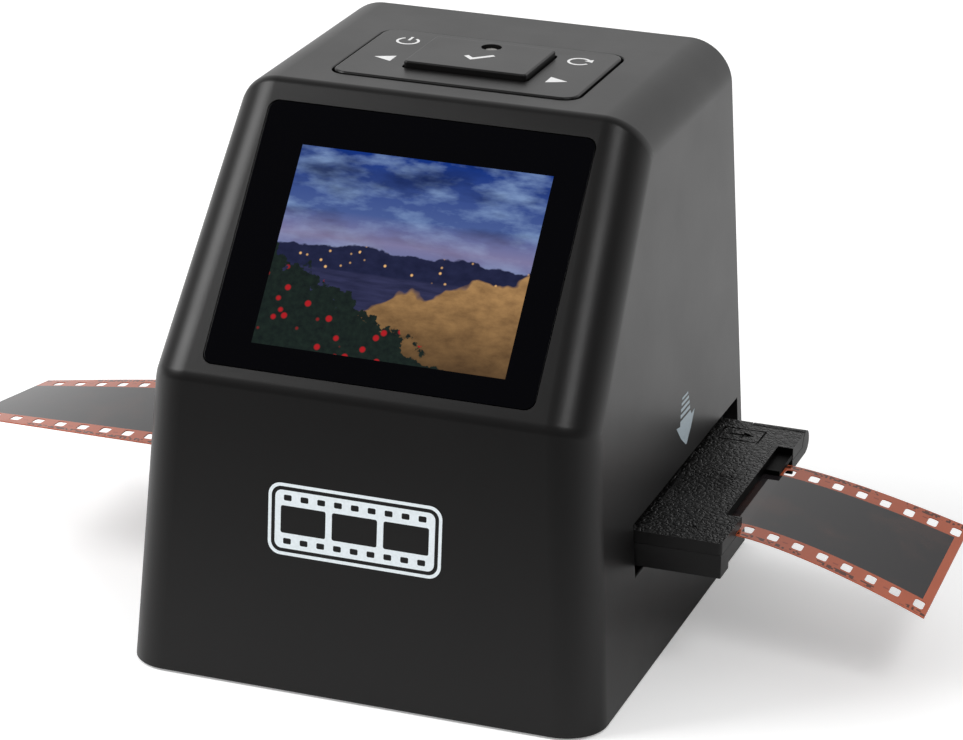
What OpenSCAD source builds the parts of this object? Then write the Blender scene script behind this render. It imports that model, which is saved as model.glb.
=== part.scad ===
// Film negative scanner: a wedge-shaped table-top scanner for 35 mm film strips.
// Millimetres. +X is the side where the film tray sticks out, -Y is the front with
// the screen, +Z is up. The origin lies on the table, under the middle of the body.

/* [Body] */
// Width of the body at its lower edge
body_base_w = 91; // [86:1:98]
// Width of the body at its top, before its side edges are rounded
body_top_w = 78; // [74:1:86]
// Depth of the body at its lower edge
body_depth = 95; // [92:1:104]
// Height of the top face above the table
body_h = 102.5; // [100:0.5:112]
// Rise of the screen face, from its lower crease to the top face
screen_rise = 45.2; // [43:0.1:48]
// How far the front leans back between its lower edge and the crease
front_lean = 3.6; // [2:0.1:5]
// Distance from the front's lower edge back to the crease of the top face
top_setback = 40.6; // [38:0.1:42]
// How far the back leans forward between its lower edge and the top
rear_lean = 1.1; // [0:0.1:2]
// Wall of the housing
wall = 2.2; // [1.8:0.1:2.6]
// Radius of the two upright front edges
corner_r = 8; // [5:0.5:9]
// Radius of the two edges between the top face and the sides
side_top_r = 8.3; // [5:0.1:9]
// Gap between a cover and the walls around it
cover_gap = 0.15; // [0.1:0.05:0.3]

/* [Covers and feet] */
// Height of the housing's lower edge above the table
foot_lift = 0.5; // [0.3:0.1:1.2]
// Step from the housing's lower edge up to the base plate
base_step = 0.4; // [0.2:0.1:1]
// Thickness of the base plate
base_t = 2; // [1.6:0.1:3]
// Thickness of the rear cover
rear_t = 2; // [1.6:0.1:3]
// Radius of a rubber foot
foot_r = 5; // [3:0.5:5.5]
// Distance of the feet from the middle, across
foot_x = 30; // [26:1:31]
// Distance of the feet from the middle, front to back
foot_y = 29; // [24:1:30]

/* [Screen] */
// Width of the glossy screen window
window_w = 62.4; // [58:0.2:63]
// Height of the screen window along the sloping face
window_l = 51; // [46:0.5:52]
// Distance from the lower crease to the window's middle
window_mid_v = 28.5; // [28:0.1:29.5]
// Corner radius of the window
window_r = 2; // [1:0.1:4]
// Thickness of the window
window_t = 1.4; // [1:0.1:1.5]
// Width of the lit picture
picture_w = 47.8; // [44:0.2:50]
// Height of the lit picture along the sloping face
picture_l = 38.2; // [36:0.2:40]
// Offset of the picture from the middle, to the right
picture_x = 1; // [0:0.1:1.5]
// Offset of the picture below the window's centre
picture_drop = 1.5; // [0:0.1:2]
// Width of the display's border beside its picture
lcd_border = 4; // [3:0.1:5]
// Thickness of the display
lcd_t = 2.6; // [2:0.1:3.2]
// Wall of the frame round the display
lcd_frame_wall = 3; // [2:0.1:3.4]
// Lip of that frame behind the display
lcd_lip = 1; // [0.8:0.1:1.4]

/* [Keys] */
// Width of the rocking key plate
plate_w = 47.2; // [46:0.2:49]
// Depth of the key plate, front to back
plate_d = 29.7; // [29:0.1:31]
// Distance from the crease of the top face to the key plate
plate_setback = 6.7; // [5.5:0.1:8]
// Thickness of the key plate
plate_t = 2.3; // [2:0.1:2.6]
// Corner radius of the key plate
plate_r = 3; // [1.5:0.1:4]
// How far the key plate stands above the top face
plate_raise = 0.3; // [0:0.1:0.5]
// Gap round the key plate
plate_gap = 0.45; // [0.3:0.05:0.6]
// Width of the middle key
ok_w = 23.8; // [20:0.2:24]
// Depth of the middle key
ok_d = 17.4; // [15:0.2:18]
// How far the middle of that key lies behind the middle of the key plate
ok_setback = 0.75; // [0:0.05:1.2]
// How far the middle key stands above the key plate
ok_raise = 1.2; // [0.6:0.1:1.6]
// Corner radius of the middle key
ok_r = 0.8; // [0.3:0.1:1.5]
// Gap round the middle key
ok_gap = 0.35; // [0.3:0.05:0.6]
// Free travel of a key before it meets its switch
key_travel_gap = 0.75; // [0.6:0.05:0.9]
// Radius of the rocker's pins
rocker_pin_r = 0.7; // [0.6:0.05:0.8]
// Radial clearance of a pin or stem that turns or slides
run_gap = 0.05; // [0.03:0.01:0.1]
// Radius of the status light's hole in the middle key
light_hole_r = 1.9; // [1.6:0.1:2.2]
// Distance of that hole's middle from the rear edge of the middle key
light_inset = 3.1; // [2.8:0.1:4]

/* [Film] */
// Width of the film strip
film_w = 35; // [35:0.1:35.2]
// Thickness of the film strip
film_t = 0.2; // [0.14:0.02:0.24]
// Reach of the strip's ends from the middle, to each side
film_reach = 95; // [90:1:105]
// Distance of the film's centre line from the body's back
film_back = 40.7; // [39.5:0.1:42]
// Droop of the strip's right end at its front edge
droop_right_front = 10.4; // [4:0.1:12]
// Droop of the strip's right end at its back edge
droop_right_back = 7.1; // [4:0.1:12]
// Droop of the strip's left end at its front edge
droop_left_front = 0.2; // [0:0.1:3]
// Droop of the strip's left end at its back edge
droop_left_back = 5.7; // [2:0.1:5.8]
// How sharply the right end curls: 1 is straight, 2 is a parabola
curl_right = 1.4; // [1.2:0.1:2]
// How sharply the left end curls
curl_left = 1.15; // [1.1:0.05:2]
// Length that the film can be fed along in the tray
feed = 4.75; // [2:0.25:5]
// Width of one picture on the film
frame_w = 36; // [35:0.5:37]
// Height of one picture on the film
frame_h = 24; // [23:0.5:25]

/* [Tray] */
// Where the tray ends on the left, from the middle
tray_left = 49.5; // [47:0.5:52]
// Where the tray ends on the right, from the middle
tray_right = 59.7; // [58:0.1:66]
// Front edge of the tray, in front of the film's centre line
tray_front = 26.9; // [26:0.1:27.1]
// The hinge's axis, behind the film's centre line
hinge_back = 30; // [29:0.1:30.2]
// Height of the tray's top face above the table
tray_top_h = 30.1; // [29.9:0.05:30.2]
// Height of the seam between the tray's two halves
seam_h = 27.7; // [27.5:0.05:27.8]
// Gap in that seam
seam_gap = 0.05; // [0.03:0.01:0.1]
// Height of the underside of the tray's front rail
rail_bottom_h = 23.2; // [23:0.1:23.6]
// Width of the tray's front rail
rail_w = 5; // [3:0.1:6]
// Height of the tray's underside between its rails
floor_bottom_h = 24.8; // [24.4:0.1:25.2]
// Height of the tray's underside along its back edge
back_bottom_h = 25.6; // [25.4:0.1:25.8]
// Width of the tray's back rail in front of the hinge's axis
back_rail_w = 8.8; // [7:0.1:9.5]
// Radius of the hinge's barrel
barrel_r = 2.2; // [2:0.05:2.2]
// Gap between the barrel and what turns beside it
barrel_gap = 0.3; // [0.25:0.05:0.4]
// Radius of the hinge pin
hinge_pin_r = 0.6; // [0.5:0.05:0.8]
// Length of a knuckle at each end of the tray's base
end_knuckle = 10.5; // [8:0.5:14]
// Length of the middle knuckle of the tray's base
mid_knuckle = 20; // [14:1:26]
// Gap between neighbouring knuckles
knuckle_gap = 0.4; // [0.3:0.05:0.6]
// Clearance beside the film in its channel
film_side_gap = 0.2; // [0.1:0.05:0.3]
// Height of the film's channel
channel_h = 0.6; // [0.5:0.05:0.8]
// Depth of the notch where the film leaves the tray
notch_x = 3; // [2:0.1:4]
// Front side of the notch, from the film's centre line
notch_front = 14; // [12:0.1:15]
// Back side of the notch, from the film's centre line
notch_back = 20.5; // [19:0.1:21]
// Depth of the thumb recess in the lid
thumb_depth = 0.7; // [0.4:0.05:1]
// Half width of the thumb recess
thumb_half = 8.6; // [7:0.1:10]
// Depth of the engraved box in the lid
engrave = 0.3; // [0.2:0.05:0.4]

/* [Slot and guide] */
// Height of the slot's lower edge
slot_bottom_h = 21.4; // [21.2:0.05:21.6]
// Height of the slot's upper edge
slot_top_h = 31.4; // [31.3:0.05:31.8]
// Front end of the slot, in front of the film's centre line
slot_front = 27.9; // [27.6:0.1:28.4]
// Back end of the slot, behind the film's centre line
slot_back = 37.8; // [36:0.1:38]
// Gap between the tray and the guide at its sides
guide_gap = 0.5; // [0.4:0.05:0.6]
// Gap between the tray and the rails it slides on
rail_gap = 0.2; // [0.1:0.05:0.25]
// Thickness of the guide's floor and roof
guide_t = 2; // [1.6:0.1:2.4]
// Gap between the guide and the housing's sides
guide_end_gap = 0.4; // [0.2:0.1:0.8]
// Margin of the light windows round one picture on the film
light_margin = 2; // [1:0.1:2.4]

/* [Optics] */
// Height of the backlight housing's underside
backlight_h0 = 9; // [7:0.5:11]
// Wall of the backlight housing
backlight_wall = 1.4; // [1:0.1:1.8]
// Thickness of the diffuser
diffuser_t = 1.3; // [1:0.1:1.6]
// Depth of the light tunnel's top below the body's top face
tunnel_drop = 44.5; // [42.5:0.5:48]
// Wall of the light tunnel
tunnel_wall = 1.5; // [1.2:0.1:2]
// Radius of the lens barrel
barrel_lens_r = 5.1; // [4.5:0.1:5.5]
// Radius of the lens glass
glass_r = 3.9; // [3.4:0.1:4.1]
// Height of the lens holder
holder_h = 8; // [7:0.5:10]
// Side of the lens holder's tower
holder_w = 18; // [17:0.5:20]
// Side of the camera board
camera_board_w = 28; // [26:0.5:29]

/* [Boards] */
// Thickness of a circuit board
board_t = 1.6; // [1.2:0.1:1.8]
// Depth of the main board's underside below the body's top face
main_board_drop = 28.5; // [26.5:0.5:31]
// Width of the main board
main_board_w = 60; // [56:1:62]
// Distance from the main board's front edge to the optical axis
main_board_front = 17.6; // [17.4:0.1:20]
// Width of the card slot
card_w = 26; // [25:0.1:28]
// Height of the card slot
card_h = 3; // [2.9:0.1:3.4]
// Thickness of the card's opening
card_opening_h = 2.4; // [2.2:0.05:2.5]
// Width of the cable socket
usb_w = 7.7; // [7.5:0.1:8.2]
// Height of the cable socket
usb_h = 3.9; // [3.7:0.1:4.2]

/* [Fasteners] */
// Shank radius of the self-tapping screws
screw_r = 1.2; // [1:0.05:1.3]
// Head radius of those screws
head_r = 2.4; // [2.2:0.05:2.5]
// Head height of those screws
head_t = 1.2; // [1:0.05:1.3]
// Radius of a screw boss
boss_r = 3.2; // [2.8:0.1:3.6]
// Clearance round a shank in what it clamps
clear_gap = 0.3; // [0.2:0.05:0.4]
// Shank radius of the small screws
small_r = 0.7; // [0.6:0.05:0.8]
// Head radius of the small screws
small_head_r = 1.4; // [1.2:0.05:1.5]
// Head height of the small screws
small_head_t = 0.8; // [0.6:0.05:0.9]

/* [Hidden] */
$fn = 48;

// A cutter runs this far past the face it cuts
past = 1;
// Far enough to reach out of the body in any direction
far = 70;

// ---- colours ----
shell_colour = [0.13, 0.13, 0.14];
tray_colour = [0.10, 0.10, 0.11];
inner_colour = [0.20, 0.20, 0.22];
board_colour = [0.05, 0.32, 0.18];
steel_colour = [0.72, 0.73, 0.75];
film_colour = [0.55, 0.27, 0.18];
flex_colour = [0.72, 0.42, 0.12];

// ---- small vector tools ----
function unit(v) = v / norm(v);
function dot(a, b) = a * b;
// Where two lines in a plane meet: through a along u, and through b along w
function meet(a, u, b, w) = a + u * cross2(b - a, w) / cross2(u, w);
function cross2(a, b) = a[0] * b[1] - a[1] * b[0];
// A line from a to b moved inwards by t, to the left of its direction
function shifted(a, b, t) = a + t * unit([a[1] - b[1], b[0] - a[0]]);

// A rounding crosses the faces beside it by this much, so that it never only grazes them
cross_by = 0.01;
// Inside the wall the upright edges are rounded more tightly, by this share of the wall
corner_ease = 1.5;

// ---- the body's planes ----
front_y = -body_depth / 2;
rear_y = body_depth / 2;
film_y = rear_y - film_back;
knee_y = front_y + front_lean;
crease_y = front_y + top_setback;
body_rise = body_h - foot_lift;
knee_h = body_h - screen_rise;
side_lean = (body_base_w - body_top_w) / 2;
screen_tilt = atan2(body_h - knee_h, crease_y - knee_y);
screen_l = norm([body_h - knee_h, crease_y - knee_y]);
function half_w(z) = body_base_w / 2 - side_lean * (z - foot_lift) / body_rise;
function rear_at(z) = rear_y - rear_lean * (z - foot_lift) / body_rise;
side_normal = unit([body_rise, 0, side_lean]);
front_normal = unit([0, foot_lift - knee_h, front_lean]);
screen_normal = unit([0, knee_h - body_h, crease_y - knee_y]);

// The outline seen from the side, each edge moved inwards by its own amount
side_corners = [
  [front_y, foot_lift], [knee_y, knee_h], [crease_y, body_h],
  [rear_y - rear_lean, body_h], [rear_y, foot_lift]
];
function side_outline(t, rear, bottom) =
  let (
    moves = [t, t, t, rear, bottom],
    n = len(side_corners)
  )
  [for (i = [0 : n - 1])
    let (
      prev = side_corners[(i + n - 1) % n],
      here = side_corners[i],
      next = side_corners[(i + 1) % n],
      a = shifted(here, prev, moves[(i + n - 1) % n]),
      b = shifted(next, here, moves[i])
    )
    meet(a, here - prev, b, next - here)];

// The outline seen from the front: tapered sides with rounded top corners
module front_outline(t, bottom) {
  low = foot_lift + bottom;
  top = body_h - t;
  r = side_top_r - t;
  slope = [side_normal[0], side_normal[2]];
  inner_low = half_w(low) - t / slope[0];
  inner_top = half_w(top) - t / slope[0];
  in = r - cross_by;
  corner = in * (1 - slope[1]) / slope[0];
  difference() {
    polygon([[-inner_low, low], [inner_low, low], [inner_top, top], [-inner_top, top]]);
    for (side = [-1, 1]) {
      centre = [inner_top - corner, top - in];
      mirror([side < 0 ? 1 : 0, 0]) difference() {
        polygon([
          centre, centre + slope * (r + past),
          centre + (slope + [0, 1]) * (r + past), centre + [0, r + past]
        ]);
        translate(centre) circle(r);
      }
    }
  }
}

// Takes away what stands outside a rounding of radius r between two planes
module edge_cutter(p, q, n1, n2, r, t, over) {
  e = unit(q - p);
  y = cross(e, n1);
  start = p - t * (n1 + n2) / (1 + dot(n1, n2)) - e * over;
  second = [dot(n2, n1), dot(n2, y)];
  in = r - cross_by;
  centre = [-in, -in * (1 - second[0]) / second[1]];
  multmatrix([
    [n1[0], y[0], e[0], start[0]],
    [n1[1], y[1], e[1], start[1]],
    [n1[2], y[2], e[2], start[2]],
    [0, 0, 0, 1]
  ])
  linear_extrude(height = norm(q - p) + 2 * over) difference() {
    polygon([
      centre, centre + [r + past, 0],
      centre + ([1, 0] + second) * (r + past), centre + second * (r + past)
    ]);
    translate(centre) circle(r);
  }
}

// The body's form, moved inwards by t at the front, sides and top
module body_form(t, rear, bottom) {
  low_p = [half_w(foot_lift), front_y, foot_lift];
  knee_p = [half_w(knee_h), knee_y, knee_h];
  top_p = [half_w(body_h), crease_y, body_h];
  r = corner_r - corner_ease * t;
  over = r * tan((90 - screen_tilt) / 2);
  difference() {
    intersection() {
      rotate([90, 0, 90]) linear_extrude(height = 2 * far, center = true)
        polygon(side_outline(t, rear, bottom));
      rotate([90, 0, 0]) linear_extrude(height = 2 * far, center = true)
        front_outline(t, bottom);
    }
    for (side = [0, 1]) mirror([side, 0, 0]) {
      edge_cutter(low_p, knee_p, side_normal, front_normal, r, t, over - min(bottom, 0));
      edge_cutter(knee_p, top_p, side_normal, screen_normal, r, t, over);
    }
  }
}

module rounded_square(w, d, r) {
  square([w - 2 * r, d], center = true);
  square([w, d - 2 * r], center = true);
  for (x = [-1, 1], y = [-1, 1])
    translate([x * (w / 2 - r), y * (d / 2 - r)]) circle(r);
}

module rounded_plate(w, d, t, r) {
  linear_extrude(height = t) rounded_square(w, d, r);
}

// A box given by its low and high corners
module span(a, b) {
  translate(a) cube(b - a);
}

// A rod along Z between two heights
module rod(x, y, z0, z1, r) {
  translate([x, y, z0]) cylinder(h = z1 - z0, r = r);
}

// A rod along X between two places
module rod_x(x0, x1, y, z, r) {
  translate([x0, y, z]) rotate([0, 90, 0]) cylinder(h = x1 - x0, r = r);
}

// A rod along Y between two places
module rod_y(x, y0, y1, z, r) {
  translate([x, y0, z]) rotate([-90, 0, 0]) cylinder(h = y1 - y0, r = r);
}

// A screw with its head's seat at z and its shank going up
module screw_up(x, y, z, l, r, hr, ht) {
  difference() {
    union() {
      rod(x, y, z - ht, z, hr);
      rod(x, y, z, z + l, r);
    }
    translate([x, y, z - ht]) cross_drive(r, ht);
  }
}

// A screw with its head's seat at z and its shank going down
module screw_down(x, y, z, l, r, hr, ht) {
  translate([x, y, z]) mirror([0, 0, 1]) screw_up(0, 0, 0, l, r, hr, ht);
}

// The cross-shaped recess in a screw's head
module cross_drive(r, ht) {
  slot = 0.5 * r;
  for (a = [0, 90]) rotate([0, 0, a])
    cube([2 * r, slot, ht], center = true);
}

// ---- covers, feet and bosses ----
base_z0 = foot_lift + base_step;
base_z1 = base_z0 + base_t;
base_boss_h = 12;
// How far a boss reaches into the wall beside it
boss_bury = 0.4;
// Solid end of a boss, beyond its screw hole
boss_end = 2;
boss_front_room = 3;
boss_rear_room = 1.6;
head_sink = 1;
base_boss_x = half_w(base_boss_h) - wall - boss_r + boss_bury;
base_boss_front_y = knee_y + wall + boss_r + boss_front_room;
base_boss_rear_y = rear_y - rear_t - boss_r - boss_rear_room;
base_bosses = [
  [-base_boss_x, base_boss_front_y], [base_boss_x, base_boss_front_y],
  [-base_boss_x, base_boss_rear_y], [base_boss_x, base_boss_rear_y]
];
rear_boss_l = 10;
rear_screw_drop = 14.5;
rear_boss_z = body_h - rear_screw_drop;
rear_boss_x = half_w(rear_boss_z) - wall - boss_r + boss_bury;
rear_inner_y = rear_at(rear_boss_z) - rear_t;
rear_angle = atan2(rear_lean, body_rise);
// Vent slots in the rear cover
vent_n = 4;
vent_pitch = 5;
vent_w = 1.6;
vent_drop = 8.5;
vent_l = 10;
vent_z1 = body_h - vent_drop;
vent_z0 = vent_z1 - vent_l;

// ---- the screen face ----
lcd_w = picture_w + 2 * lcd_border;
lcd_l = picture_l + 2 * lcd_border;
lcd_gap = 0.2;
lcd_back = wall + lcd_gap + lcd_t;
lcd_view_margin = 1.5;
picture_v = window_mid_v - picture_drop;
module on_screen(x, v, depth) {
  translate([0, knee_y, knee_h]) rotate([screen_tilt, 0, 0])
    translate([x, v, -depth]) children();
}

// ---- the keys ----
plate_y0 = crease_y + plate_setback;
key_y = plate_y0 + plate_d / 2;
plate_z1 = body_h + plate_raise;
plate_z0 = plate_z1 - plate_t;
ceiling_h = body_h - wall;
ok_z1 = plate_z1 + ok_raise;
// Depths of the middle key's foot and of the rocker's axes below the plate
ok_drop = 1.9;
rocker_drop = 2.5;
ok_flange_lip = 1;
ok_flange_t = 0.8;
ok_z0 = plate_z0 - ok_drop;
rocker_h = plate_z0 - rocker_drop;
rocker_t = 2;
rocker_bar = 2.3;
// Room between the middle key's flange and the rocker, besides the key's own gap
rocker_room_x = 0.5;
rocker_room_y = 0.25;
rocker_reach = ok_d / 2 + ok_flange_lip + ok_gap + rocker_room_y;
rocker_front = rocker_reach - ok_setback;
rocker_rear = rocker_reach + ok_setback;
ok_y = key_y + ok_setback;
light_x = 0.2;
light_y = ok_y + ok_d / 2 - light_inset;
light_stem_r = 1;
light_gap = 0.4;
light_head_r = light_hole_r - light_gap;
light_head_lift = 0.6;
light_sink = 0.5;
rocker_side = ok_w / 2 + ok_flange_lip + ok_gap + rocker_room_x;
lug_gap = 0.35;
lug_t = 1.6;
lug_w = 4;
lug_ring = 0.9;
post_t = 1.6;
frame_t = 1.6;
frame_gap = 1.2;
frame_z1 = rocker_h - rocker_t / 2 - frame_gap;
frame_z0 = frame_z1 - frame_t;
frame_half_w = 30.2;
frame_front = 16.4;
frame_rear = 17.2;
key_boss_r = 2.4;
key_boss_gap = 0.5;
key_boss_end = 0.8;
tip_gap = 0.4;
pin_root = 0.5;
tower_gap = 0.2;
leg_room = 0.6;
key_boss_x = plate_w / 2 + plate_gap + key_boss_r + key_boss_gap;
key_boss_front = -13.4;
key_boss_rear = 13.9;
key_bosses = [for (x = [-1, 1], y = [key_boss_front, key_boss_rear]) [x * key_boss_x, key_y + y]];
switch_w = 6;
switch_h = 3.5;
plunger_r = 1.7;
plunger_h = 1;
board_drop = 0.3;
key_board_z1 = frame_z0 - board_drop - switch_h;
key_board_z0 = key_board_z1 - board_t;
plunger_top = key_board_z1 + switch_h + plunger_h;
leg_r = 1.3;
leg_x = 18.5;
leg_front = -11;
leg_rear = 10;
corner_legs = [for (x = [-1, 1], y = [leg_front, leg_rear]) [x * leg_x, key_y + y]];
stem_r = 2.2;
tower_wall = 1.4;
key_board_half_w = 24.5;
key_board_front = 15.4;
key_board_rear = 16.4;
spacer_r = 1.9;
spacer_x = 13;
spacer_front = -13.4;
spacer_rear = 14.4;
spacers = [for (x = [-1, 1], y = [spacer_front, spacer_rear]) [x * spacer_x, key_y + y]];
key_led_h = 1.4;
key_led_w = 1.6;
key_screw_bite = 2.4;

// ---- the tray and its guide ----
tray_front_y = film_y - tray_front;
hinge_y = film_y + hinge_back;
hinge_z = tray_top_h - barrel_r;
tray_len = tray_left + tray_right;
lid_z0 = seam_h + seam_gap;
lid_knuckle = (tray_len - 2 * end_knuckle - mid_knuckle - 4 * knuckle_gap) / 2;
// Left ends and lengths of the knuckles, which take turns: base, lid, base, lid, base
k1 = -tray_left;
k2 = k1 + end_knuckle + knuckle_gap;
k3 = k2 + lid_knuckle + knuckle_gap;
k4 = k3 + mid_knuckle + knuckle_gap;
k5 = k4 + lid_knuckle + knuckle_gap;
base_knuckles = [[k1, end_knuckle], [k3, mid_knuckle], [k5, end_knuckle]];
lid_knuckles = [[k2, lid_knuckle], [k4, lid_knuckle]];
film_z0 = seam_h + seam_gap;
film_z1 = film_z0 + film_t;
guide_front_y = tray_front_y - guide_gap;
guide_back_y = hinge_y + barrel_r + guide_gap;
guide_end_room = 0.2;
guide_end_y = film_y + slot_back + guide_end_room;
guide_half_w = half_w(slot_top_h + guide_t) - wall / side_normal[0] - guide_end_gap;
near_rail_top = rail_bottom_h - rail_gap;
back_rail_top = back_bottom_h - rail_gap;
roof_z1 = slot_top_h + guide_t;
floor_z0 = slot_bottom_h - guide_t;
leg_post_r = 3;
guide_leg_set = 5.5;
light_r = 1;
guide_leg_x = guide_half_w - leg_post_r - guide_leg_set;
guide_leg_front_y = guide_front_y - guide_t + leg_post_r;
guide_leg_back_y = guide_back_y + guide_t - leg_post_r;
guide_legs = [for (x = [-1, 1], y = [guide_leg_front_y, guide_leg_back_y]) [x * guide_leg_x, y]];
light_w = frame_w + 2 * light_margin;
light_d = frame_h + 2 * light_margin;
window_clear = 0.2;

// ---- the optics and boards ----
tunnel_top_h = body_h - tunnel_drop;
main_board_h = body_h - main_board_drop;
diffuser_seat = 1.2;
diffuser_z1 = slot_bottom_h - 0.1;
diffuser_w = light_w + 2 * diffuser_seat;
diffuser_d = light_d + 2 * diffuser_seat;
led_board_z0 = backlight_h0 + backlight_wall;
led_h = 0.9;
led_w = 3.5;
led_d = 2.8;
led_board_gap = 0.3;
tunnel_tab = 5;
tunnel_room = 3;
screw_short = 0.5;
tunnel_out_w = light_w + 2 * tunnel_wall;
tunnel_out_d = light_d + 2 * tunnel_wall + tunnel_room;
tunnel_tab_t = 2;
holder_flange_t = 1.5;
camera_board_z0 = tunnel_top_h + holder_h;
camera_board_z1 = camera_board_z0 + board_t;
sensor_t = 1.2;
sensor_w = 11;
sensor_d = 9;
sensor_room = 1.4;
sensor_gap = 1;
holder_lip = 2;
holder_screw_floor = 3;
barrel_drop = 3;
barrel_top_gap = 2;
glass_t = 2.3;
glass_set = 0.6;
glass_lip = 0.8;
camera_screw_edge = 1.6;
camera_screw_bite = 3.4;
barrel_z0 = tunnel_top_h - barrel_drop;
barrel_z1 = camera_board_z0 - barrel_top_gap;
camera_screw = holder_w / 2 - camera_screw_edge;
main_board_z1 = main_board_h + board_t;
main_front_y = film_y - main_board_front;
socket_stand = 0.4;
board_rear_gap = 1.6;
main_rear_y = rear_at(main_board_z1) - rear_t - board_rear_gap;
standoff_r = 2.4;
standoff_edge = 0.4;
standoff_floor = 2;
board_screw_bite = 4.4;
standoff_x = tunnel_out_w / 2 - standoff_r - standoff_edge;
standoff_y = tunnel_out_d / 2 - standoff_r - standoff_edge;
standoffs = [for (x = [-1, 1], y = [-1, 1]) [x * standoff_x, film_y + y * standoff_y]];
socket_back = 2;
chip_set = 4;
chip_y = film_y + chip_set;
chip_w = 14;
chip_t = 1;
memory_w = 8;
memory_d = 12;
memory_edge = 1;
memory_x = main_board_w / 2 - memory_w / 2 - memory_edge;
usb_x = -17;
usb_l = 9;
usb_wall = 0.5;
card_x = 12;
card_l = 21;
card_wall = 0.3;
socket_front_y = rear_at(main_board_z1 + card_h) - socket_stand;
opening_gap = 0.3;
flex_t = 0.3;
flex_w = 16;
small_flex_w = 8;
key_flex_x = -7;
led_flex_x = 0;
flex_run = 0.5;
flex_bend = 2;
flex_land = 5;
flex_room = 0.5;
flex_start = 6.5;
flex_in = 3;
flex_pad = 3;

// ---- housing ----
module main_housing() {
  color(shell_colour) difference() {
    union() {
      difference() {
        body_form(0, 0, 0);
        body_form(wall, -past, -past);
      }
      intersection() {
        body_form(wall / 2, wall, 0);
        union() {
          for (b = base_bosses) rod(b[0], b[1], base_z1, base_z1 + base_boss_h, boss_r);
          for (side = [-1, 1])
            rod_y(side * rear_boss_x, rear_inner_y - rear_boss_l, rear_inner_y, rear_boss_z, boss_r);
        }
      }
      for (b = key_bosses) rod(b[0], b[1], frame_z1, ceiling_h + wall / 2, key_boss_r);
    }
    for (b = base_bosses)
      rod(b[0], b[1], base_z1 - past, base_z1 + base_boss_h - boss_end,
        screw_r + run_gap);
    for (b = key_bosses)
      rod(b[0], b[1], frame_z1 - past, ceiling_h - key_boss_end, small_r + run_gap);
    for (side = [-1, 1])
      rod_y(side * rear_boss_x, rear_inner_y - rear_boss_l + boss_end, rear_inner_y + past,
        rear_boss_z, screw_r + run_gap);
    // pocket for the window, and the opening behind it
    on_screen(0, window_mid_v, window_t)
      rounded_plate(window_w + 2 * cover_gap, window_l + 2 * cover_gap, 2 * wall, window_r);
    on_screen(picture_x, picture_v, wall + past)
      rounded_plate(picture_w + 2 * lcd_view_margin, picture_l + 2 * lcd_view_margin,
        wall + 2 * past, window_r);
    // opening for the keys
    translate([0, key_y, ceiling_h - past])
      rounded_plate(plate_w + 2 * plate_gap, plate_d + 2 * plate_gap, wall + 2 * past,
        plate_r + plate_gap);
    // the tray's slot, right through both sides
    span([-far, film_y - slot_front, slot_bottom_h], [far, film_y + slot_back, slot_top_h]);
  }
}

// The rear cover lies flush in the housing's back
module rear_cover() {
  color(shell_colour) difference() {
    intersection() {
      body_form(wall + cover_gap, 0, base_step + base_t + cover_gap);
      translate([0, rear_y - rear_t / cos(rear_angle), foot_lift]) rotate([rear_angle, 0, 0])
        span([-far, 0, 0], [far, far, 2 * body_h]);
    }
    for (side = [-1, 1]) {
      rod_y(side * rear_boss_x, rear_inner_y - past, rear_y + past, rear_boss_z,
        screw_r + clear_gap);
      rod_y(side * rear_boss_x, rear_inner_y + rear_t - head_sink, rear_y + past,
        rear_boss_z, head_r + clear_gap);
    }
    // openings for the cable socket and the card
    span([usb_x - usb_w / 2 - opening_gap, rear_inner_y - 2 * past, main_board_z1 - opening_gap],
      [usb_x + usb_w / 2 + opening_gap, rear_y + past, main_board_z1 + usb_h + opening_gap]);
    span([card_x - card_w / 2 - opening_gap, rear_inner_y - 2 * past, main_board_z1 - opening_gap],
      [card_x + card_w / 2 + opening_gap, rear_y + past, main_board_z1 + card_h + opening_gap]);
    // rows of vent slots near the top
    for (i = [-vent_n : vent_n])
      span([i * vent_pitch - vent_w / 2, rear_inner_y - 2 * past, vent_z0],
        [i * vent_pitch + vent_w / 2, rear_y + past, vent_z1]);
  }
}

module base_plate() {
  color(shell_colour) difference() {
    intersection() {
      body_form(wall + cover_gap, cover_gap, base_step);
      span([-far, -far, base_z0], [far, far, base_z1]);
    }
    for (b = concat(base_bosses, guide_legs)) {
      rod(b[0], b[1], base_z0 - past, base_z1 + past, screw_r + clear_gap);
      rod(b[0], b[1], base_z0 - past, base_z0 + base_t - head_sink, head_r + clear_gap);
    }
  }
}

module rubber_feet() {
  color([0.05, 0.05, 0.05])
    for (x = [-1, 1], y = [-1, 1]) rod(x * foot_x, y * foot_y, 0, base_z0, foot_r);
}

module base_screws() {
  color(steel_colour) for (b = base_bosses)
    screw_up(b[0], b[1], base_z1 - head_sink, base_boss_h - boss_end, screw_r, head_r, head_t);
}

module rear_screws() {
  color(steel_colour) for (side = [-1, 1])
    translate([side * rear_boss_x, rear_inner_y + rear_t - head_sink, rear_boss_z])
      rotate([90, 0, 0])
        screw_up(0, 0, 0, rear_boss_l - boss_end - head_sink, screw_r, head_r, head_t);
}

// ---- screen ----
module screen_window() {
  color([0.02, 0.02, 0.03]) on_screen(0, window_mid_v, window_t)
    rounded_plate(window_w, window_l, window_t, window_r);
}

module lcd_panel() {
  color([0.10, 0.14, 0.28]) on_screen(picture_x, picture_v, lcd_back)
    translate([-lcd_w / 2, -lcd_l / 2, 0]) cube([lcd_w, lcd_l, lcd_t]);
}

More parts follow.
